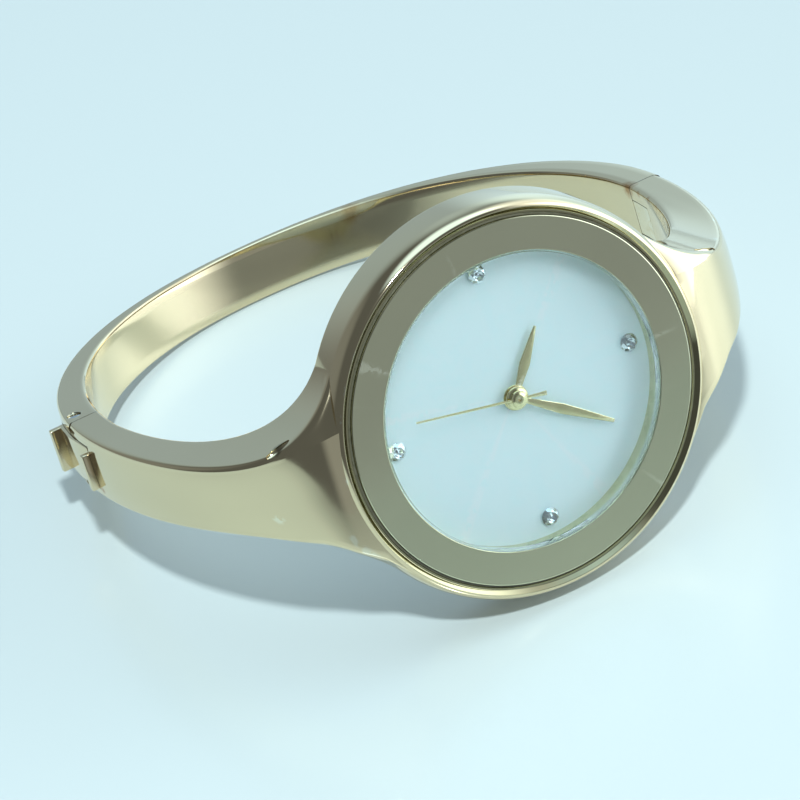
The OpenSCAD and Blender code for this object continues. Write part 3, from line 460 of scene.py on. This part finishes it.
def planHalf(u, r):  # half width of the arm's plan at a distance from the middle of the dial, for a blend radius
    mid = bangle["armW"] / 2 + r
    reach = caseSizes["caseR"] + r - bangle["blendIn"]
    along = math.sqrt(reach * reach - mid * mid)
    u = np.abs(np.asarray(u, float))
    inner = mid - np.sqrt(np.maximum(r * r - np.clip(along - u, 0, r * 0.845) ** 2, 0))
    return np.where(u >= along, bangle["armW"] / 2, inner)


def closedRing(outer, along, half, other):  # both halves of a cross-section, each given as (half width, depth)
    full = half + [(-w, d) for w, d in other[-2:0:-1]]
    return [(outer[0] + along[0] * d, w, outer[1] + along[1] * d) for w, d in full]


# Pairs are distances from the middle of the dial between which a shape fades
armLook = {"creaseW": 4.85, "creaseIn": 0.11, "fall": 0.42, "facetTurn": 1.0, "creaseFade": (21.4, 23.4),
           "edgeBlend": 0.12, "lowFill": 0.42, "fillAt": 19, "fillWide": 1.9, "frontBlendR": 17.0, "crown": 0.16,
           "crownStart": 0.35, "crownRise": (22.5, 28), "shoulderW": 0.8, "shoulderFade": (18.5, 24), "corner": 0.5,
           "innerCorner": 0.35, "deepest": {-1: 0.42, 1: 0.1}}
armRoot = {"outer": [(12.2, -0.15), (15.0, -0.15), (17.0, -0.155), (17.9, -0.2)],
           "inner": [(11.0, -5.5), (12.5, -5.5), (14.0, -5.5), (14.7, -5.5)]}
scoopLook = {"place": (22.5, 4.62, -3.25), "half": (1.35, 0.42, 0.5), "turn": (0, 19, -23)}


def smoothStep(x, low, high):
    t = np.clip((x - low) / (high - low), 0, 1)
    return t * t * (3 - 2 * t)


def armRing(outer, inner):  # one closed cross-section, in the plane through two side view points
    length = np.linalg.norm(inner - outer)
    along = (inner - outer) / length
    u = abs(outer[0])
    beyond = smoothStep(u, *armLook["creaseFade"])
    start = armLook["crownStart"]
    crown = armLook["crown"] * (start + (1 - start) * smoothStep(u, *armLook["crownRise"]))
    corner, innerR = armLook["corner"], armLook["innerCorner"]
    facetTurn, shoulderW, shoulderH = armLook["facetTurn"], armLook["shoulderW"], caseSizes["shoulderH"]

    def wall(depth):  # half width of the side wall at a depth under the outer face
        at = outer[0] + along[0] * depth
        front, back = float(planHalf(at, armLook["frontBlendR"])), float(planHalf(at, bangle["blendR"]))
        return front + (back - front) * min(depth / length, 1) ** 0.8

    last = wall(length - innerR)

    def halfRing(crease):
        fill = 0 if crease else armLook["lowFill"] * math.exp(-((u - armLook["fillAt"]) / armLook["fillWide"]) ** 2)
        front = wall(0) + fill
        if crease:  # sharp front edge near the case, with a leaning facet under it
            line = armLook["creaseW"] - armLook["creaseIn"] * max(u - caseSizes["rimR"], 0)
            edge = 0.5 * (front + line - math.hypot(front - line, armLook["edgeBlend"]))
            start = edge - corner * beyond
        else:  # rounded shoulder like the case's
            drop = crown + shoulderH + (corner - shoulderH) * smoothStep(u, *armLook["shoulderFade"])
            start = front - (shoulderW + (corner - shoulderW) * beyond)
        points = [(start * k, crown * k ** 3) for k in np.linspace(0, 1, 13)]
        for a in np.radians(np.linspace(6, 90, 15)):
            roundD = crown + corner * (1 - math.cos(a))
            roundW = front - corner + (wall(roundD) - front + corner) * math.sin(a)
            if crease:
                width = max(wall(facetTurn) - edge, 0.02)
                fall = armLook["fall"] * width * math.sin(a)
                depth = crown + fall + facetTurn * (1 - math.cos(a)) ** 2.5
                half = edge + (wall(depth) - edge) * math.sin(a)
            else:
                depth = crown + (drop - crown) * (1 - math.cos(a))
                half = start + (wall(depth) + fill - start) * math.sin(a)
            mixed = beyond if crease else 0
            points.append((half + (roundW - half) * mixed, depth + (roundD - depth) * mixed))
        low = points[-1][1]
        for k in np.linspace(0.1, 1, 9):
            depth = low + (length - innerR - low) * k
            points.append((wall(depth) + fill * (1 - k) ** 2, depth))
        for a in np.radians(np.linspace(11.25, 90, 8)):
            points.append((last - innerR + innerR * math.cos(a), length - innerR + innerR * math.sin(a)))
        return points + [((last - innerR) * k, length) for k in np.linspace(0.85, 0, 7)]

    return closedRing(outer, along, halfRing(True), halfRing(False))


def armRings(side):  # arm on one side, from inside the case past the widest level to its deepest level in the oval
    t = np.linspace(0, 1, 84) ** 1.15
    outer = [np.array(p) for p in armRoot["outer"]] + list(bezier(outerArm, t))
    inner = [np.array(p) for p in armRoot["inner"]] + list(bezier(innerArm, t))
    for q in -np.linspace(0, armLook["deepest"][side], 14)[1:]:
        outer.append(ovalPoint(bangle["outHalf"], outDepth, q))
        inner.append(ovalPoint(bangle["inHalf"], inDepth, q))
    return [[(side * x, w, z) for x, w, z in armRing(o, i)] for o, i in zip(outer, inner)]


def scoop(side):  # small hollow where the sharp front edge runs out
    bm = bmesh.new()
    bmesh.ops.create_uvsphere(bm, u_segments=32, v_segments=20, radius=1)
    shape = bpy.data.objects.new("scoop", bpy.data.meshes.new("scoop"))
    bpy.context.collection.objects.link(shape)
    angles = Euler([math.radians(v) for v in scoopLook["turn"]])
    turned = Matrix.LocRotScale(Vector(scoopLook["place"]), angles, Vector(scoopLook["half"]))
    bm.transform(Matrix.Scale(side, 4, (1, 0, 0)) @ turned)
    bm.to_mesh(shape.data)
    bm.free()
    faceOut(shape)
    return shape


def makeCasting():
    c = caseSizes
    low, rim, bore, edge = -c["wallH"], c["rimR"], c["boreR"], c["edge"]
    profile = [(bore + 0.03, -0.35), (bore, -0.38), (bore, c["dialUnder"]), (c["cavityR"], c["dialUnder"]),
               (c["cavityR"], c["seatTop"]), (c["flangeR"], c["seatTop"]), (c["flangeR"], low + 0.1),
               (c["flangeR"] + 0.1, low)]
    profile += arc(c["caseR"] - edge, low + edge, edge, -90, 0, 10)
    profile += [(rim + (c["caseR"] - rim) * math.cos(q), c["shoulderH"] * (math.sin(q) - 1))
                for q in np.radians(np.linspace(0, 86, 25))]
    profile += [(rim + 0.03, -0.004), (rim + 0.01, 0), (rim - 0.02, -0.012), (bore + 0.24, -0.33),
                (bore + 0.2, -0.35)]
    body = spinProfile("caseBody", profile, 288)
    core = [(0, 6), (18.1, 6), (18.1, -5.3), (16.9, -5.3), (16.9, -5.6), (16.72, -5.75), (16.72, -12), (0, -12)]
    for side in (-1, 1):
        arm = loftRings("armBody", armRings(side))
        cutAway(arm, scoop(side), spinProfile("core", core, 192))
        combine(body, arm, "UNION")
    top = clasp["z"]
    claspEnd = [(-40, top), (-20, top), (-20, -50), (-40, -50)]
    ear = arc(hinge["x"], hinge["z"], hinge["ear"], -90, 0, 14)
    earEnd = [(20, hinge["shoulder"])] + ear + [(40, hinge["z"]), (40, -45), (20, -45)]
    half = clasp["slotW"] / 2
    fork = hinge["tongueW"] / 2 + hinge["gap"]
    room, deep = c["crownRoom"], c["crownZ"]
    cutAway(body, prism("claspEnd", claspEnd, -12, 12), prism("earEnd", earEnd, -12, 12),
            block("latchRoom", (-36, -half, -36.5), (clasp["channelX"], half, clasp["front"] + 0.1)),
            block("forkRoom", (25.2, -fork, -31.8), (37, fork, -25.2)),
            prism("crownRoom", circle(room, 48, 0, deep), -22, -17.5),
            block("crownDoor", (0.001 - room, -22, -9), (room - 0.001, -17.501, deep)),
            bar("stemRoom", 0, deep, c["stemRoom"], -18, -15),
            bar("pinRoom", hinge["x"], hinge["z"], hinge["pin"], -5, 2.6))
    body.name = "castFront"
    return finishPiece(body, gold, "case", ["front_casting"], 13)


makeCasting()
print("stage: front casting made")

backLook = {"corner": 0.4, "cornerShare": 0.32, "innerShare": 0.25, "crown": 0.1, "tongueLow": -33}


def backRing(outer, inner):  # one closed cross-section of the tapering band
    length = np.linalg.norm(inner - outer)
    along = (inner - outer) / length
    low = bangle["widest"] - bangle["taperStart"]
    f = np.clip((low - outer[1]) / (low - bangle["farOut"]), 0, 1)
    half = bangle["armW"] / 2 + (bangle["backW"] - bangle["armW"]) / 2 * f
    r = min(backLook["corner"], length * backLook["cornerShare"])
    rIn = min(armLook["innerCorner"], length * backLook["innerShare"])
    crown = backLook["crown"]
    points = [((half - r) * k, crown * k ** 3) for k in np.linspace(0, 1, 9)]
    points += [(half - r + r * math.sin(a), crown + r * (1 - math.cos(a))) for a in np.radians([18, 36, 54, 72, 90])]
    points += [(half, crown + r + (length - rIn - r - crown) * k) for k in (0.25, 0.5, 0.75, 1)]
    points += arc(half - rIn, length - rIn, rIn, 30, 90, 3)
    points += [((half - rIn) * k, length) for k in (0.66, 0.33, 0)]
    return closedRing(outer, along, points, points)


def backRings():
    q = -np.linspace(0, math.pi, 150)
    t = np.linspace(1, 0.9, 8)[1:]
    lines = []
    for curve, half, depth in ((outerArm, bangle["outHalf"], outDepth), (innerArm, bangle["inHalf"], inDepth)):
        oval = [ovalPoint(half, depth, a) for a in q]
        lines.append(list(bezier(curve, t))[::-1] + oval + [p * [-1, 1] for p in bezier(curve, t[:3])])
    return [backRing(o, i) for o, i in zip(*lines)]


def sideAt(level, curve, half, depth):  # half width of the bangle's side view at a level near its widest one
    if level >= bangle["widest"]:
        line = bezier(curve, np.linspace(1, 0.8, 200))
        return float(np.interp(level, line[:, 1], line[:, 0]))
    e = bangle["oval"]
    return half * (1 - (abs(level - bangle["widest"]) / depth) ** e) ** (1 / e)


def makeBack():
    body = loftRings("backBody", backRings())
    gap = hinge["gap"]
    ear = arc(hinge["x"], hinge["z"], hinge["ear"] + gap, -90, 0, 14)
    earRoom = [(20, hinge["shoulder"] - gap)] + ear + [(40, hinge["z"]), (40, -20), (20, -20)]
    top = clasp["z"] - gap
    cutAway(body, prism("earRoom", earRoom, -12, 12),
            prism("claspFace", [(-40, top), (-20, top), (-20, -20), (-40, -20)], -12, 12))
    low = backLook["tongueLow"]
    outline = [(sideAt(z, innerArm, bangle["inHalf"], inDepth) + 0.02, z) for z in np.linspace(low, -25.3, 12)]
    outline += arc(hinge["x"], hinge["z"], hinge["reach"], 90, 54, 6)
    outline += [(sideAt(z, outerArm, bangle["outHalf"], outDepth) - 0.02, z) for z in np.linspace(-25.75, low, 12)]
    half = hinge["tongueW"] / 2
    combine(body, prism("tongue", outline, -half, half), "UNION")
    x, z, half = clasp["x"], clasp["pinZ"], clasp["slotW"] / 2
    cutAway(body, bar("pinRoom", hinge["x"], hinge["z"], pins["bore"], -5, 5),
            bar("pinRoom", x, z, clasp["pin"], -5, 5),
            bar("hubRoom", x, z, clasp["hub"] + 0.1, -half, half),
            block("leverRoom", (-36, -half, z), (x, half, -30)),
            block("leverRoom", (-36, -half, clasp["end"] - 0.4), (x + 0.15, half, z + 0.001)))
    body.name = "bangleBack"
    return finishPiece(body, gold, "back_half", ["back_bangle"], 24)


makeBack()
print("stage: back half made")

leverLook = {"thick": 0.75, "edge": 0.1, "barEdge": 0.13, "sink": 0.35, "frontBar": 0.7, "frontShort": 0.65,
             "backBar": 1.1, "backBarH": 0.7, "hookX": -29.52, "hookLow": -30.4, "hookTop": -29.3,
             "springHalf": 1.15, "springH": 1.1, "springIn": 0.99, "springOut": 1.2}


def makeLever():
    look, x, z, hub = leverLook, clasp["x"], clasp["pinZ"], clasp["hub"]
    top, end, front, low = clasp["top"], clasp["end"], clasp["front"], clasp["z"]
    half, thick, sink, springW = clasp["leverW"] / 2, look["thick"], look["sink"], look["springHalf"]
    slope = top + clasp["drop"]
    outline = [(top, front), (top, low), (slope, end), (slope + thick, end), (top + thick, low), (top + thick, front)]
    lever = bevel(prism("leverPlate", outline, -half, half), look["edge"], 3)
    frontOut, backOut = look["frontBar"], look["backBar"]
    frontHalf = half - look["frontShort"]
    raised = [block("frontBar", (top - frontOut, -half, front - frontOut), (top + sink, frontHalf, front)),
              block("backBar", (slope - backOut, -half, end), (slope + sink, half, end + look["backBarH"])),
              block("hook", (top + 0.3, -half, look["hookLow"]), (look["hookX"], half, look["hookTop"]))]
    for part in raised:
        bevel(part, look["barEdge"], 4)
    stem = block("hubWeb", (top + 0.55, -half, z - hub), (x, half, z + hub))
    for part in (*raised, stem, bar("hub", x, z, hub, -half, half)):
        combine(lever, part, "UNION")
    cutAway(lever, bar("pinRoom", x, z, pins["bore"], -5, 5),
            block("springRoom", (x - look["springIn"], -springW, z - look["springH"]),
                  (x + look["springOut"], springW, z + look["springH"])))
    lever.name = "latchLever"
    return finishPiece(lever, gold, "latch", ["latch_lever"], 30)


def domedPin(name, x, z, low, high, dome, material, body, slot, node):
    r = pins["radius"]
    levels = [(low, r * 0.82), (low + dome * 0.4, r * 0.95), (low + dome, r), (high - dome, r),
              (high - dome * 0.4, r * 0.95), (high, r * 0.82)]
    rings = [[(a, level, b) for a, b in circle(size, 48, x, z)] for level, size in levels]
    return finishPiece(loftRings(name, rings), material, body, [node], 35)


makeLever()
domedPin("claspPin", clasp["x"], clasp["pinZ"], *pins["clasp"], steel, "back_half", "pin_steel", "clasp_pin")
domedPin("hingePin", hinge["x"], hinge["z"], *pins["hinge"], gold, "case", "pale_gold", "hinge_pin")
print("stage: lever and pins made")

stoneLook = {"radius": 0.9, "ringR": 12.27, "count": 4, "seat": -2.4, "foot": 0.18, "footR": 0.52, "hole": 0.542,
             "heart": 0.44}
# Each ring of the stone: count, share of the radius, height, part of a turn
stoneRings = [(16, 0.78, 0.03, 0.0), (16, 0.99, 0.16, 0.0), (16, 0.99, 0.21, 0.0), (8, 0.80, 0.42, 0.5),
              (8, 0.60, 0.54, 0.0), (8, 0.50, 0.50, 0.5), (8, 0.27, 0.31, 0.0)]

ringLook = {"inner": 13.95, "outer": 17.08, "low": -2.38, "top": -0.1}
sealLook = {"inner": 17.1, "outer": 17.33, "low": -2.38, "top": -0.4}
glassLook = {"radius": 13.73, "low": -0.9, "top": -0.2}
dialLook = {"hole": 0.74, "radius": 17.31, "low": -2.8, "top": -2.4, "stoneRoom": -2.6}


def makeRing():
    inner, outer, low, top = ringLook.values()
    profile = [(inner, low), (outer, low), (outer, top - 0.06), (outer - 0.01, top - 0.03),
               (outer - 0.06, top - 0.005), (outer - 0.09, top), (inner + 0.05, top), (inner + 0.02, top - 0.01),
               (inner, top - 0.04)]
    return finishPiece(spinProfile("flatRing", profile, 288), ringMetal, "case", ["flat_ring"], 4)


def makeSeal():
    inner, outer, low, top = sealLook.values()
    profile = [(inner, low), (outer, low), (outer, top - 0.04), (outer - 0.03, top), (inner + 0.03, top),
               (inner, top - 0.04)]
    return finishPiece(spinProfile("ringSeal", profile, 192), sealBlack, "case", ["ring_seal"], 35)


def makeGlass():
    r, low, top = glassLook.values()
    profile = [(0, low), (r - 0.03, low), (r, low + 0.03), (r, top - 0.06), (r - 0.06, top), (0, top)]
    return finishPiece(spinProfile("watchGlass", profile, 192), glassClear, "case", ["glass"], 4)


def makeDial():
    hole, r, low, top, room = dialLook.values()
    profile = [(hole, low), (r, low), (r, top - 0.02), (r - 0.02, top), (hole + 0.04, top), (hole, top - 0.04)]
    dial = spinProfile("dialPlate", profile, 256)
    for k in range(stoneLook["count"]):
        a = 2 * math.pi * k / stoneLook["count"]
        x, y = stoneLook["ringR"] * math.cos(a), stoneLook["ringR"] * math.sin(a)
        cutAway(dial, prism("stoneRoom", circle(stoneLook["hole"], 40, x, y), room, -2, "n"))
    return finishPiece(dial, dialWhite, "case", ["dial"], 4)


makeRing()
makeSeal()
makeGlass()
makeDial()
print("stage: dial and glass made")


def stoneMesh():  # foil-backed brilliant: its foot, girdle, crown facets and the kaleidoscope under its table
    r, base, q = stoneLook["radius"], stoneLook["seat"], 2 * math.pi
    foot = stoneLook["footR"] / r
    rings = [(16, foot, -stoneLook["foot"], 0.0), (16, foot, 0.03, 0.0)] + stoneRings
    points, start = [], []
    for count, share, height, part in rings:
        start.append(len(points))
        points += [(r * share * math.cos(q * (i + part) / count), r * share * math.sin(q * (i + part) / count),
                    base + height) for i in range(count)]
    faces = [[start[0] + i for i in range(16)][::-1]]
    for k in range(len(rings) - 1):
        a, b, na, nb = start[k], start[k + 1], rings[k][0], rings[k + 1][0]
        if na == nb:
            late = rings[k + 1][3] - rings[k][3]
            for i in range(na):
                n = (i + 1) % na
                if late == 0:
                    faces.append([a + i, a + n, b + n, b + i])
                elif late > 0:
                    faces += [[a + i, a + n, b + i], [a + n, b + n, b + i]]
                else:
                    faces += [[a + i, a + n, b + n], [a + i, b + n, b + i]]
        else:
            for i in range(nb):
                left, mid, right = (2 * i) % na, (2 * i + 1) % na, (2 * i + 2) % na
                faces += [[a + left, a + mid, b + i], [a + mid, a + right, b + i],
                          [a + right, b + (i + 1) % nb, b + i]]
    points.append((0, 0, base + stoneLook["heart"]))
    last = start[-1]
    faces += [[last + i, last + (i + 1) % 8, len(points) - 1] for i in range(8)]
    obj = meshFrom("stoneSeed", points, faces)
    faceOut(obj)
    return obj


def ringTree():  # copies of a seed shape round the dial's axis
    inputs = {"Seed": "Object", "Count": "Int", "Radius": "Float", "Material": "Material"}
    tree, given, out = nodeGroup("ringOfCopies", "GeometryNodeTree", inputs, {"Geometry": "Geometry"})
    add = tree.nodes.new
    line = add("GeometryNodeMeshCircle")
    wire(tree, line.inputs["Vertices"], given["Count"])
    wire(tree, line.inputs["Radius"], given["Radius"])
    info = add("GeometryNodeObjectInfo")
    wire(tree, info.inputs[0], given["Seed"])
    step = calc(tree, "DIVIDE", 2 * math.pi, given["Count"])
    spin = add("ShaderNodeCombineXYZ")
    wire(tree, spin.inputs[2], calc(tree, "MULTIPLY", add("GeometryNodeInputIndex").outputs[0], step))
    place = add("GeometryNodeInstanceOnPoints")
    wire(tree, place.inputs["Points"], line.outputs[0])
    wire(tree, place.inputs["Instance"], info.outputs["Geometry"])
    wire(tree, place.inputs["Rotation"], spin.outputs[0])
    real = add("GeometryNodeRealizeInstances")
    wire(tree, real.inputs[0], place.outputs[0])
    paint = add("GeometryNodeSetMaterial")
    wire(tree, paint.inputs[0], real.outputs[0])
    wire(tree, paint.inputs["Material"], given["Material"])
    wire(tree, out[0], paint.outputs[0])
    return tree


ringOfCopies = ringTree()


def copyRound(name, seed, count, radius, material):  # uses up the seed shape
    obj = meshFrom(name, [(0, 0, 0)], [])
    step = obj.modifiers.new("build", "NODES")
    step.node_group = ringOfCopies
    values = {"Seed": seed, "Count": count, "Radius": radius, "Material": material}
    for item in ringOfCopies.interface.items_tree:
        if item.in_out == "INPUT":
            step[item.identifier] = values[item.name]
    applyModifiers(obj)
    bpy.data.objects.remove(seed)
    return obj


stones = copyRound("dialStones", stoneMesh(), stoneLook["count"], stoneLook["ringR"], crystalFoil)
finishPiece(stones, crystalFoil, "case", ["dial_stones"], 8)
print("stage: stones made")

hands = {"thick": 0.14, "bellyAt": 0.46, "edge": 0.05, "ridge": 0.02, "dome": 0.1,
         "hour": {"angle": 304.5, "z": -2.0, "length": 6.7, "root": 0.22, "belly": 0.53, "tip": 0.12, "boss": 1.2,
                  "hole": 0.66},
         "minute": {"angle": 35.8, "z": -1.66, "length": 10.4, "root": 0.2, "belly": 0.48, "tip": 0.16, "boss": 1.1,
                    "hole": 0.43},
         "second": {"angle": 192, "z": -1.32, "length": 10.3, "tail": 2.8, "widths": (0.21, 0.13, 0.12, 0.085),
                    "boss": 0.8, "hole": 0.2}}


def leafStations(h):  # rows of distance along the hand and half width
    length, mid = h["length"], hands["bellyAt"]
    if "tail" in h:
        return list(zip((-h["tail"], -h["tail"] * 0.45, 0, length), h["widths"]))
    root, belly, tip = h["root"], h["belly"], h["tip"]
    near = [(length * f, root + (belly - root) * (f / mid) ** 1.1) for f in (0, 0.12, 0.24, 0.34, 0.42, mid)]
    far = [(length * f, belly + (tip - belly) * ((f - mid) / (1 - mid)) ** 1.15) for f in (0.52, 0.65, 0.8, 0.92, 1)]
    return near + far


def makeHand(name, h, body, node):
    e, dome, r, z = hands["edge"], hands["dome"], h["boss"], h["z"]
    top = z + hands["thick"]
    flat = top - hands["ridge"]
    rings = [[(x, -w, z), (x, w, z), (x, w, flat - e * 0.5), (x, w - e * 0.6, flat), (x, 0, top),
              (x, e * 0.6 - w, flat), (x, -w, flat - e * 0.5)] for x, w in leafStations(h)]
    boss = [(0, z), (r - 0.02, z), (r, z + 0.02), (r, top - 0.04), (r - 0.04, top), (r - 0.16, top + dome * 0.2),
            (r - 0.34, top + dome * 0.9), (r - 0.4, top + dome), (0, top + dome)]
    leaf = combine(loftRings(name, rings), spinProfile("boss", boss, 96), "UNION")
    cutAway(leaf, prism("bore", circle(h["hole"], 64), -4, 0, "n"))
    leaf.data.transform(Matrix.Rotation(-math.radians(h["angle"]), 4, "Z"))
    return finishPiece(leaf, handGold, body, [node], 9)


makeHand("hourHand", hands["hour"], "hour", "hour_hand")
makeHand("minuteHand", hands["minute"], "minute", "minute_hand")
makeHand("secondHand", hands["second"], "second", "second_hand")
print("stage: hands made")

crownLook = {"radius": 1.05, "length": 1.15, "hole": 0.37, "holeDepth": 0.5, "ribs": 24, "ribEdge": 0.04,
             "inner": -17.6}


def makeCrown():
    r, length, hole = crownLook["radius"], crownLook["length"], crownLook["hole"]
    profile = [(hole, 0), (r - 0.1, 0), (r - 0.1, length - 0.2), (r - 0.14, length - 0.08), (r - 0.24, length - 0.02),
               (r - 0.4, length), (0, length), (0, crownLook["holeDepth"]), (hole, crownLook["holeDepth"])]
    body = spinProfile("crownBody", profile, 96)
    rib = bevel(block("ribSeed", (-0.14, -0.06, 0.04), (0.1, 0.06, length - 0.16)), crownLook["ribEdge"], 3)
    combine(body, copyRound("crownRibs", rib, crownLook["ribs"], r - 0.1, gold), "UNION")
    place = Matrix.Translation((0, crownLook["inner"], caseSizes["crownZ"]))
    body.data.transform(place @ Matrix.Rotation(math.radians(90), 4, "X"))
    body.name = "crownKnob"
    return finishPiece(body, gold, "winder", ["crown"], 28)


makeCrown()
print("stage: crown made")

# Materials of the CAD parts that keep their shape

finishes = {"latch_spring": springMetal, "catch_spring": springMetal, "glass_seal": sealClear,
            "hour_wheel": wheelBrass, "cannon_pinion": wheelBrass, "minute_wheel": wheelBrass,
            "centre_wheel": wheelBrass, "third_wheel": wheelBrass, "seconds_wheel": wheelBrass,
            "fifth_wheel": wheelBrass, "rotor": magnetMetal, "stator": statorIron, "coil": copper,
            "button_cell": cellSteel, "cell_clip": springMetal, "main_plate": plateBrass,
            "train_bridge": bridgeSteel, "circuit_board": boardGreen, "quartz_can": cellSteel,
            "movement_holder": holderWhite, "movement_screws": bridgeSteel, "clutch_pinion": steel, "stem": steel,
            "crown_seal": sealBlack, "case_back": backSteel, "back_seal": sealBlack}
for node, material in finishes.items():
    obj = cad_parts[node]
    if not obj.material_slots:
        obj.data.materials.append(material)
    for slot in obj.material_slots:
        slot.material = material
print("stage: carried parts finished")

# Table, lights and camera

stageLook = {"floor": (0.455, 0.503, 0.48), "glow": (0.066, 0.084, 0.088), "dimmed": 0.95, "dimFrom": 0.76,
             "dimTo": 0.95, "floorR": 0.17, "rough": (0.16, 0.24), "grain": 9, "ior": 1.6, "back": (0.66, 0.86, 0.88),
             "room": 0.13, "tint": (0.88, 1.0, 1.08), "cool": (0.7, 1.0, 1.24), "keyPower": 5.2, "keySize": 0.05,
             "keyDir": (-0.2, -0.48, 0.85), "keyAway": 0.7, "keyAim": (0, -0.01, 0.02)}
softAreas = {"window": {"dir": (0.925, -0.36, 0.1), "wide": 46, "full": 16, "level": 2.8},
             "windowHigh": {"dir": (0.78, 0.11, 0.616), "wide": 38, "full": 6, "level": 1.2},
             "windowBack": {"dir": (0.78, 0.62, 0.02), "wide": 34, "full": 8, "level": 1.0, "tint": "cool"},
             "backHigh": {"dir": (0.487, 0.646, 0.588), "wide": 34, "full": 6, "level": 0.2, "tint": "cool"},
             "behind": {"dir": (0.17, 0.98, 0.1), "wide": 40, "full": 10, "level": 0.38, "tint": "cool"},
             "behindLeft": {"dir": (-0.6, 0.79, 0.1), "wide": 30, "full": 8, "level": 0.13},
             "frontLow": {"dir": (0.26, -0.96, -0.14), "wide": 30, "full": 14, "level": 0.22},
             "overhead": {"dir": (0.1, 0.15, 0.98), "wide": 36, "full": 14, "level": 1.5, "tint": "cool"}}
# Place and directions of the camera are in the case frame
cameraLook = {"place": (-153.313, 167.979, 386.858), "lens": 225, "sensor": 36, "clip": (0.05, 20),
              "right": (0.8575, -0.2792, 0.4321), "down": (-0.4024, -0.8873, 0.2253),
              "ahead": (0.3205, -0.3671, -0.8732)}


def makeFloor():
    mat, tree, shader = newMaterial("tableTop")
    rough = mapRange(tree, noise(tree, stageLook["grain"]), toLow=stageLook["rough"][0], toHigh=stageLook["rough"][1])
    wire(tree, shader.inputs["Roughness"], rough)
    path = tree.nodes.new("ShaderNodeLightPath")
    facing = tree.nodes.new("ShaderNodeLayerWeight")  # reflections of the table darken at a low angle
    low = mapRange(tree, facing.outputs["Facing"], stageLook["dimFrom"], stageLook["dimTo"], smooth=True)
    share = calc(tree, "MULTIPLY", low, path.outputs["Is Glossy Ray"])
    dim = [(1 - stageLook["dimmed"]) * c for c in stageLook["floor"]]
    wire(tree, shader.inputs["Base Color"], mixColor(tree, share, (*stageLook["floor"], 1), (*dim, 1)))
    shader.inputs["IOR"].default_value = stageLook["ior"]
    shader.inputs["Emission Color"].default_value = (*stageLook["glow"], 1)
    shader.inputs["Emission Strength"].default_value = 1
    bpy.ops.mesh.primitive_circle_add(vertices=64, radius=stageLook["floorR"], fill_type="NGON")
    floor = bpy.context.object
    floor.name = "tableTop"
    floor.data.materials.append(mat)


def makeWorld():  # dim room with soft bright areas, and the plain colour of the table behind it all
    world = bpy.data.worlds.new("softRoom")
    bpy.context.scene.world = world
    world.use_nodes = True
    tree = world.node_tree
    nodes, links = tree.nodes, tree.links
    nodes.clear()
    way = nodes.new("ShaderNodeTexCoord").outputs["Generated"]
    base = nodes.new("ShaderNodeRGB")
    base.outputs[0].default_value = (*[stageLook["room"] * c for c in stageLook["tint"]], 1)
    total = base.outputs[0]
    for area in softAreas.values():
        facing = vectorCalc(tree, "DOT_PRODUCT", way, Vector(area["dir"]).normalized())
        wide, full = [math.cos(math.radians(area[label])) for label in ("wide", "full")]
        tint = nodes.new("ShaderNodeVectorMath")
        tint.operation = "SCALE"
        wire(tree, tint.inputs[0], stageLook[area.get("tint", "tint")])
        wire(tree, tint.inputs["Scale"], mapRange(tree, facing, wide, full, toHigh=area["level"], smooth=True))
        total = vectorCalc(tree, "ADD", total, tint.outputs[0], output="Vector")
    room, plain = nodes.new("ShaderNodeBackground"), nodes.new("ShaderNodeBackground")
    wire(tree, room.inputs[0], total)
    wire(tree, plain.inputs[0], (*stageLook["back"], 1))
    pick = nodes.new("ShaderNodeMixShader")
    links.new(nodes.new("ShaderNodeLightPath").outputs["Is Camera Ray"], pick.inputs[0])
    links.new(room.outputs[0], pick.inputs[1])
    links.new(plain.outputs[0], pick.inputs[2])
    links.new(pick.outputs[0], nodes.new("ShaderNodeOutputWorld").inputs[0])


def makeLight():
    data = bpy.data.lights.new("keyLamp", "AREA")
    data.shape = "DISK"
    data.size = stageLook["keySize"]
    data.energy = stageLook["keyPower"]
    data.color = stageLook["tint"]
    lamp = bpy.data.objects.new("keyLamp", data)
    bpy.context.collection.objects.link(lamp)
    direction = Vector(stageLook["keyDir"]).normalized()
    lamp.location = Vector(stageLook["keyAim"]) + direction * stageLook["keyAway"]
    lamp.rotation_mode = "QUATERNION"
    lamp.rotation_quaternion = (-direction).to_track_quat("-Z", "Y")


def makeCamera():
    look = cameraLook
    data = bpy.data.cameras.new("photoCamera")
    data.lens = look["lens"]
    data.sensor_width = look["sensor"]
    data.clip_start, data.clip_end = look["clip"]
    camera = bpy.data.objects.new("photoCamera", data)
    bpy.context.collection.objects.link(camera)
    axes = turn @ np.array([look["right"], np.negative(look["down"]), np.negative(look["ahead"])]).T
    spot = toTable(look["place"])
    camera.matrix_world = Matrix([[*axes[i], spot[i]] for i in range(3)] + [[0, 0, 0, 1]])
    bpy.context.scene.camera = camera


makeFloor()
makeWorld()
makeLight()
makeCamera()
bpy.context.scene.view_settings.view_transform = "Standard"
print("stage: table, lights and camera made")
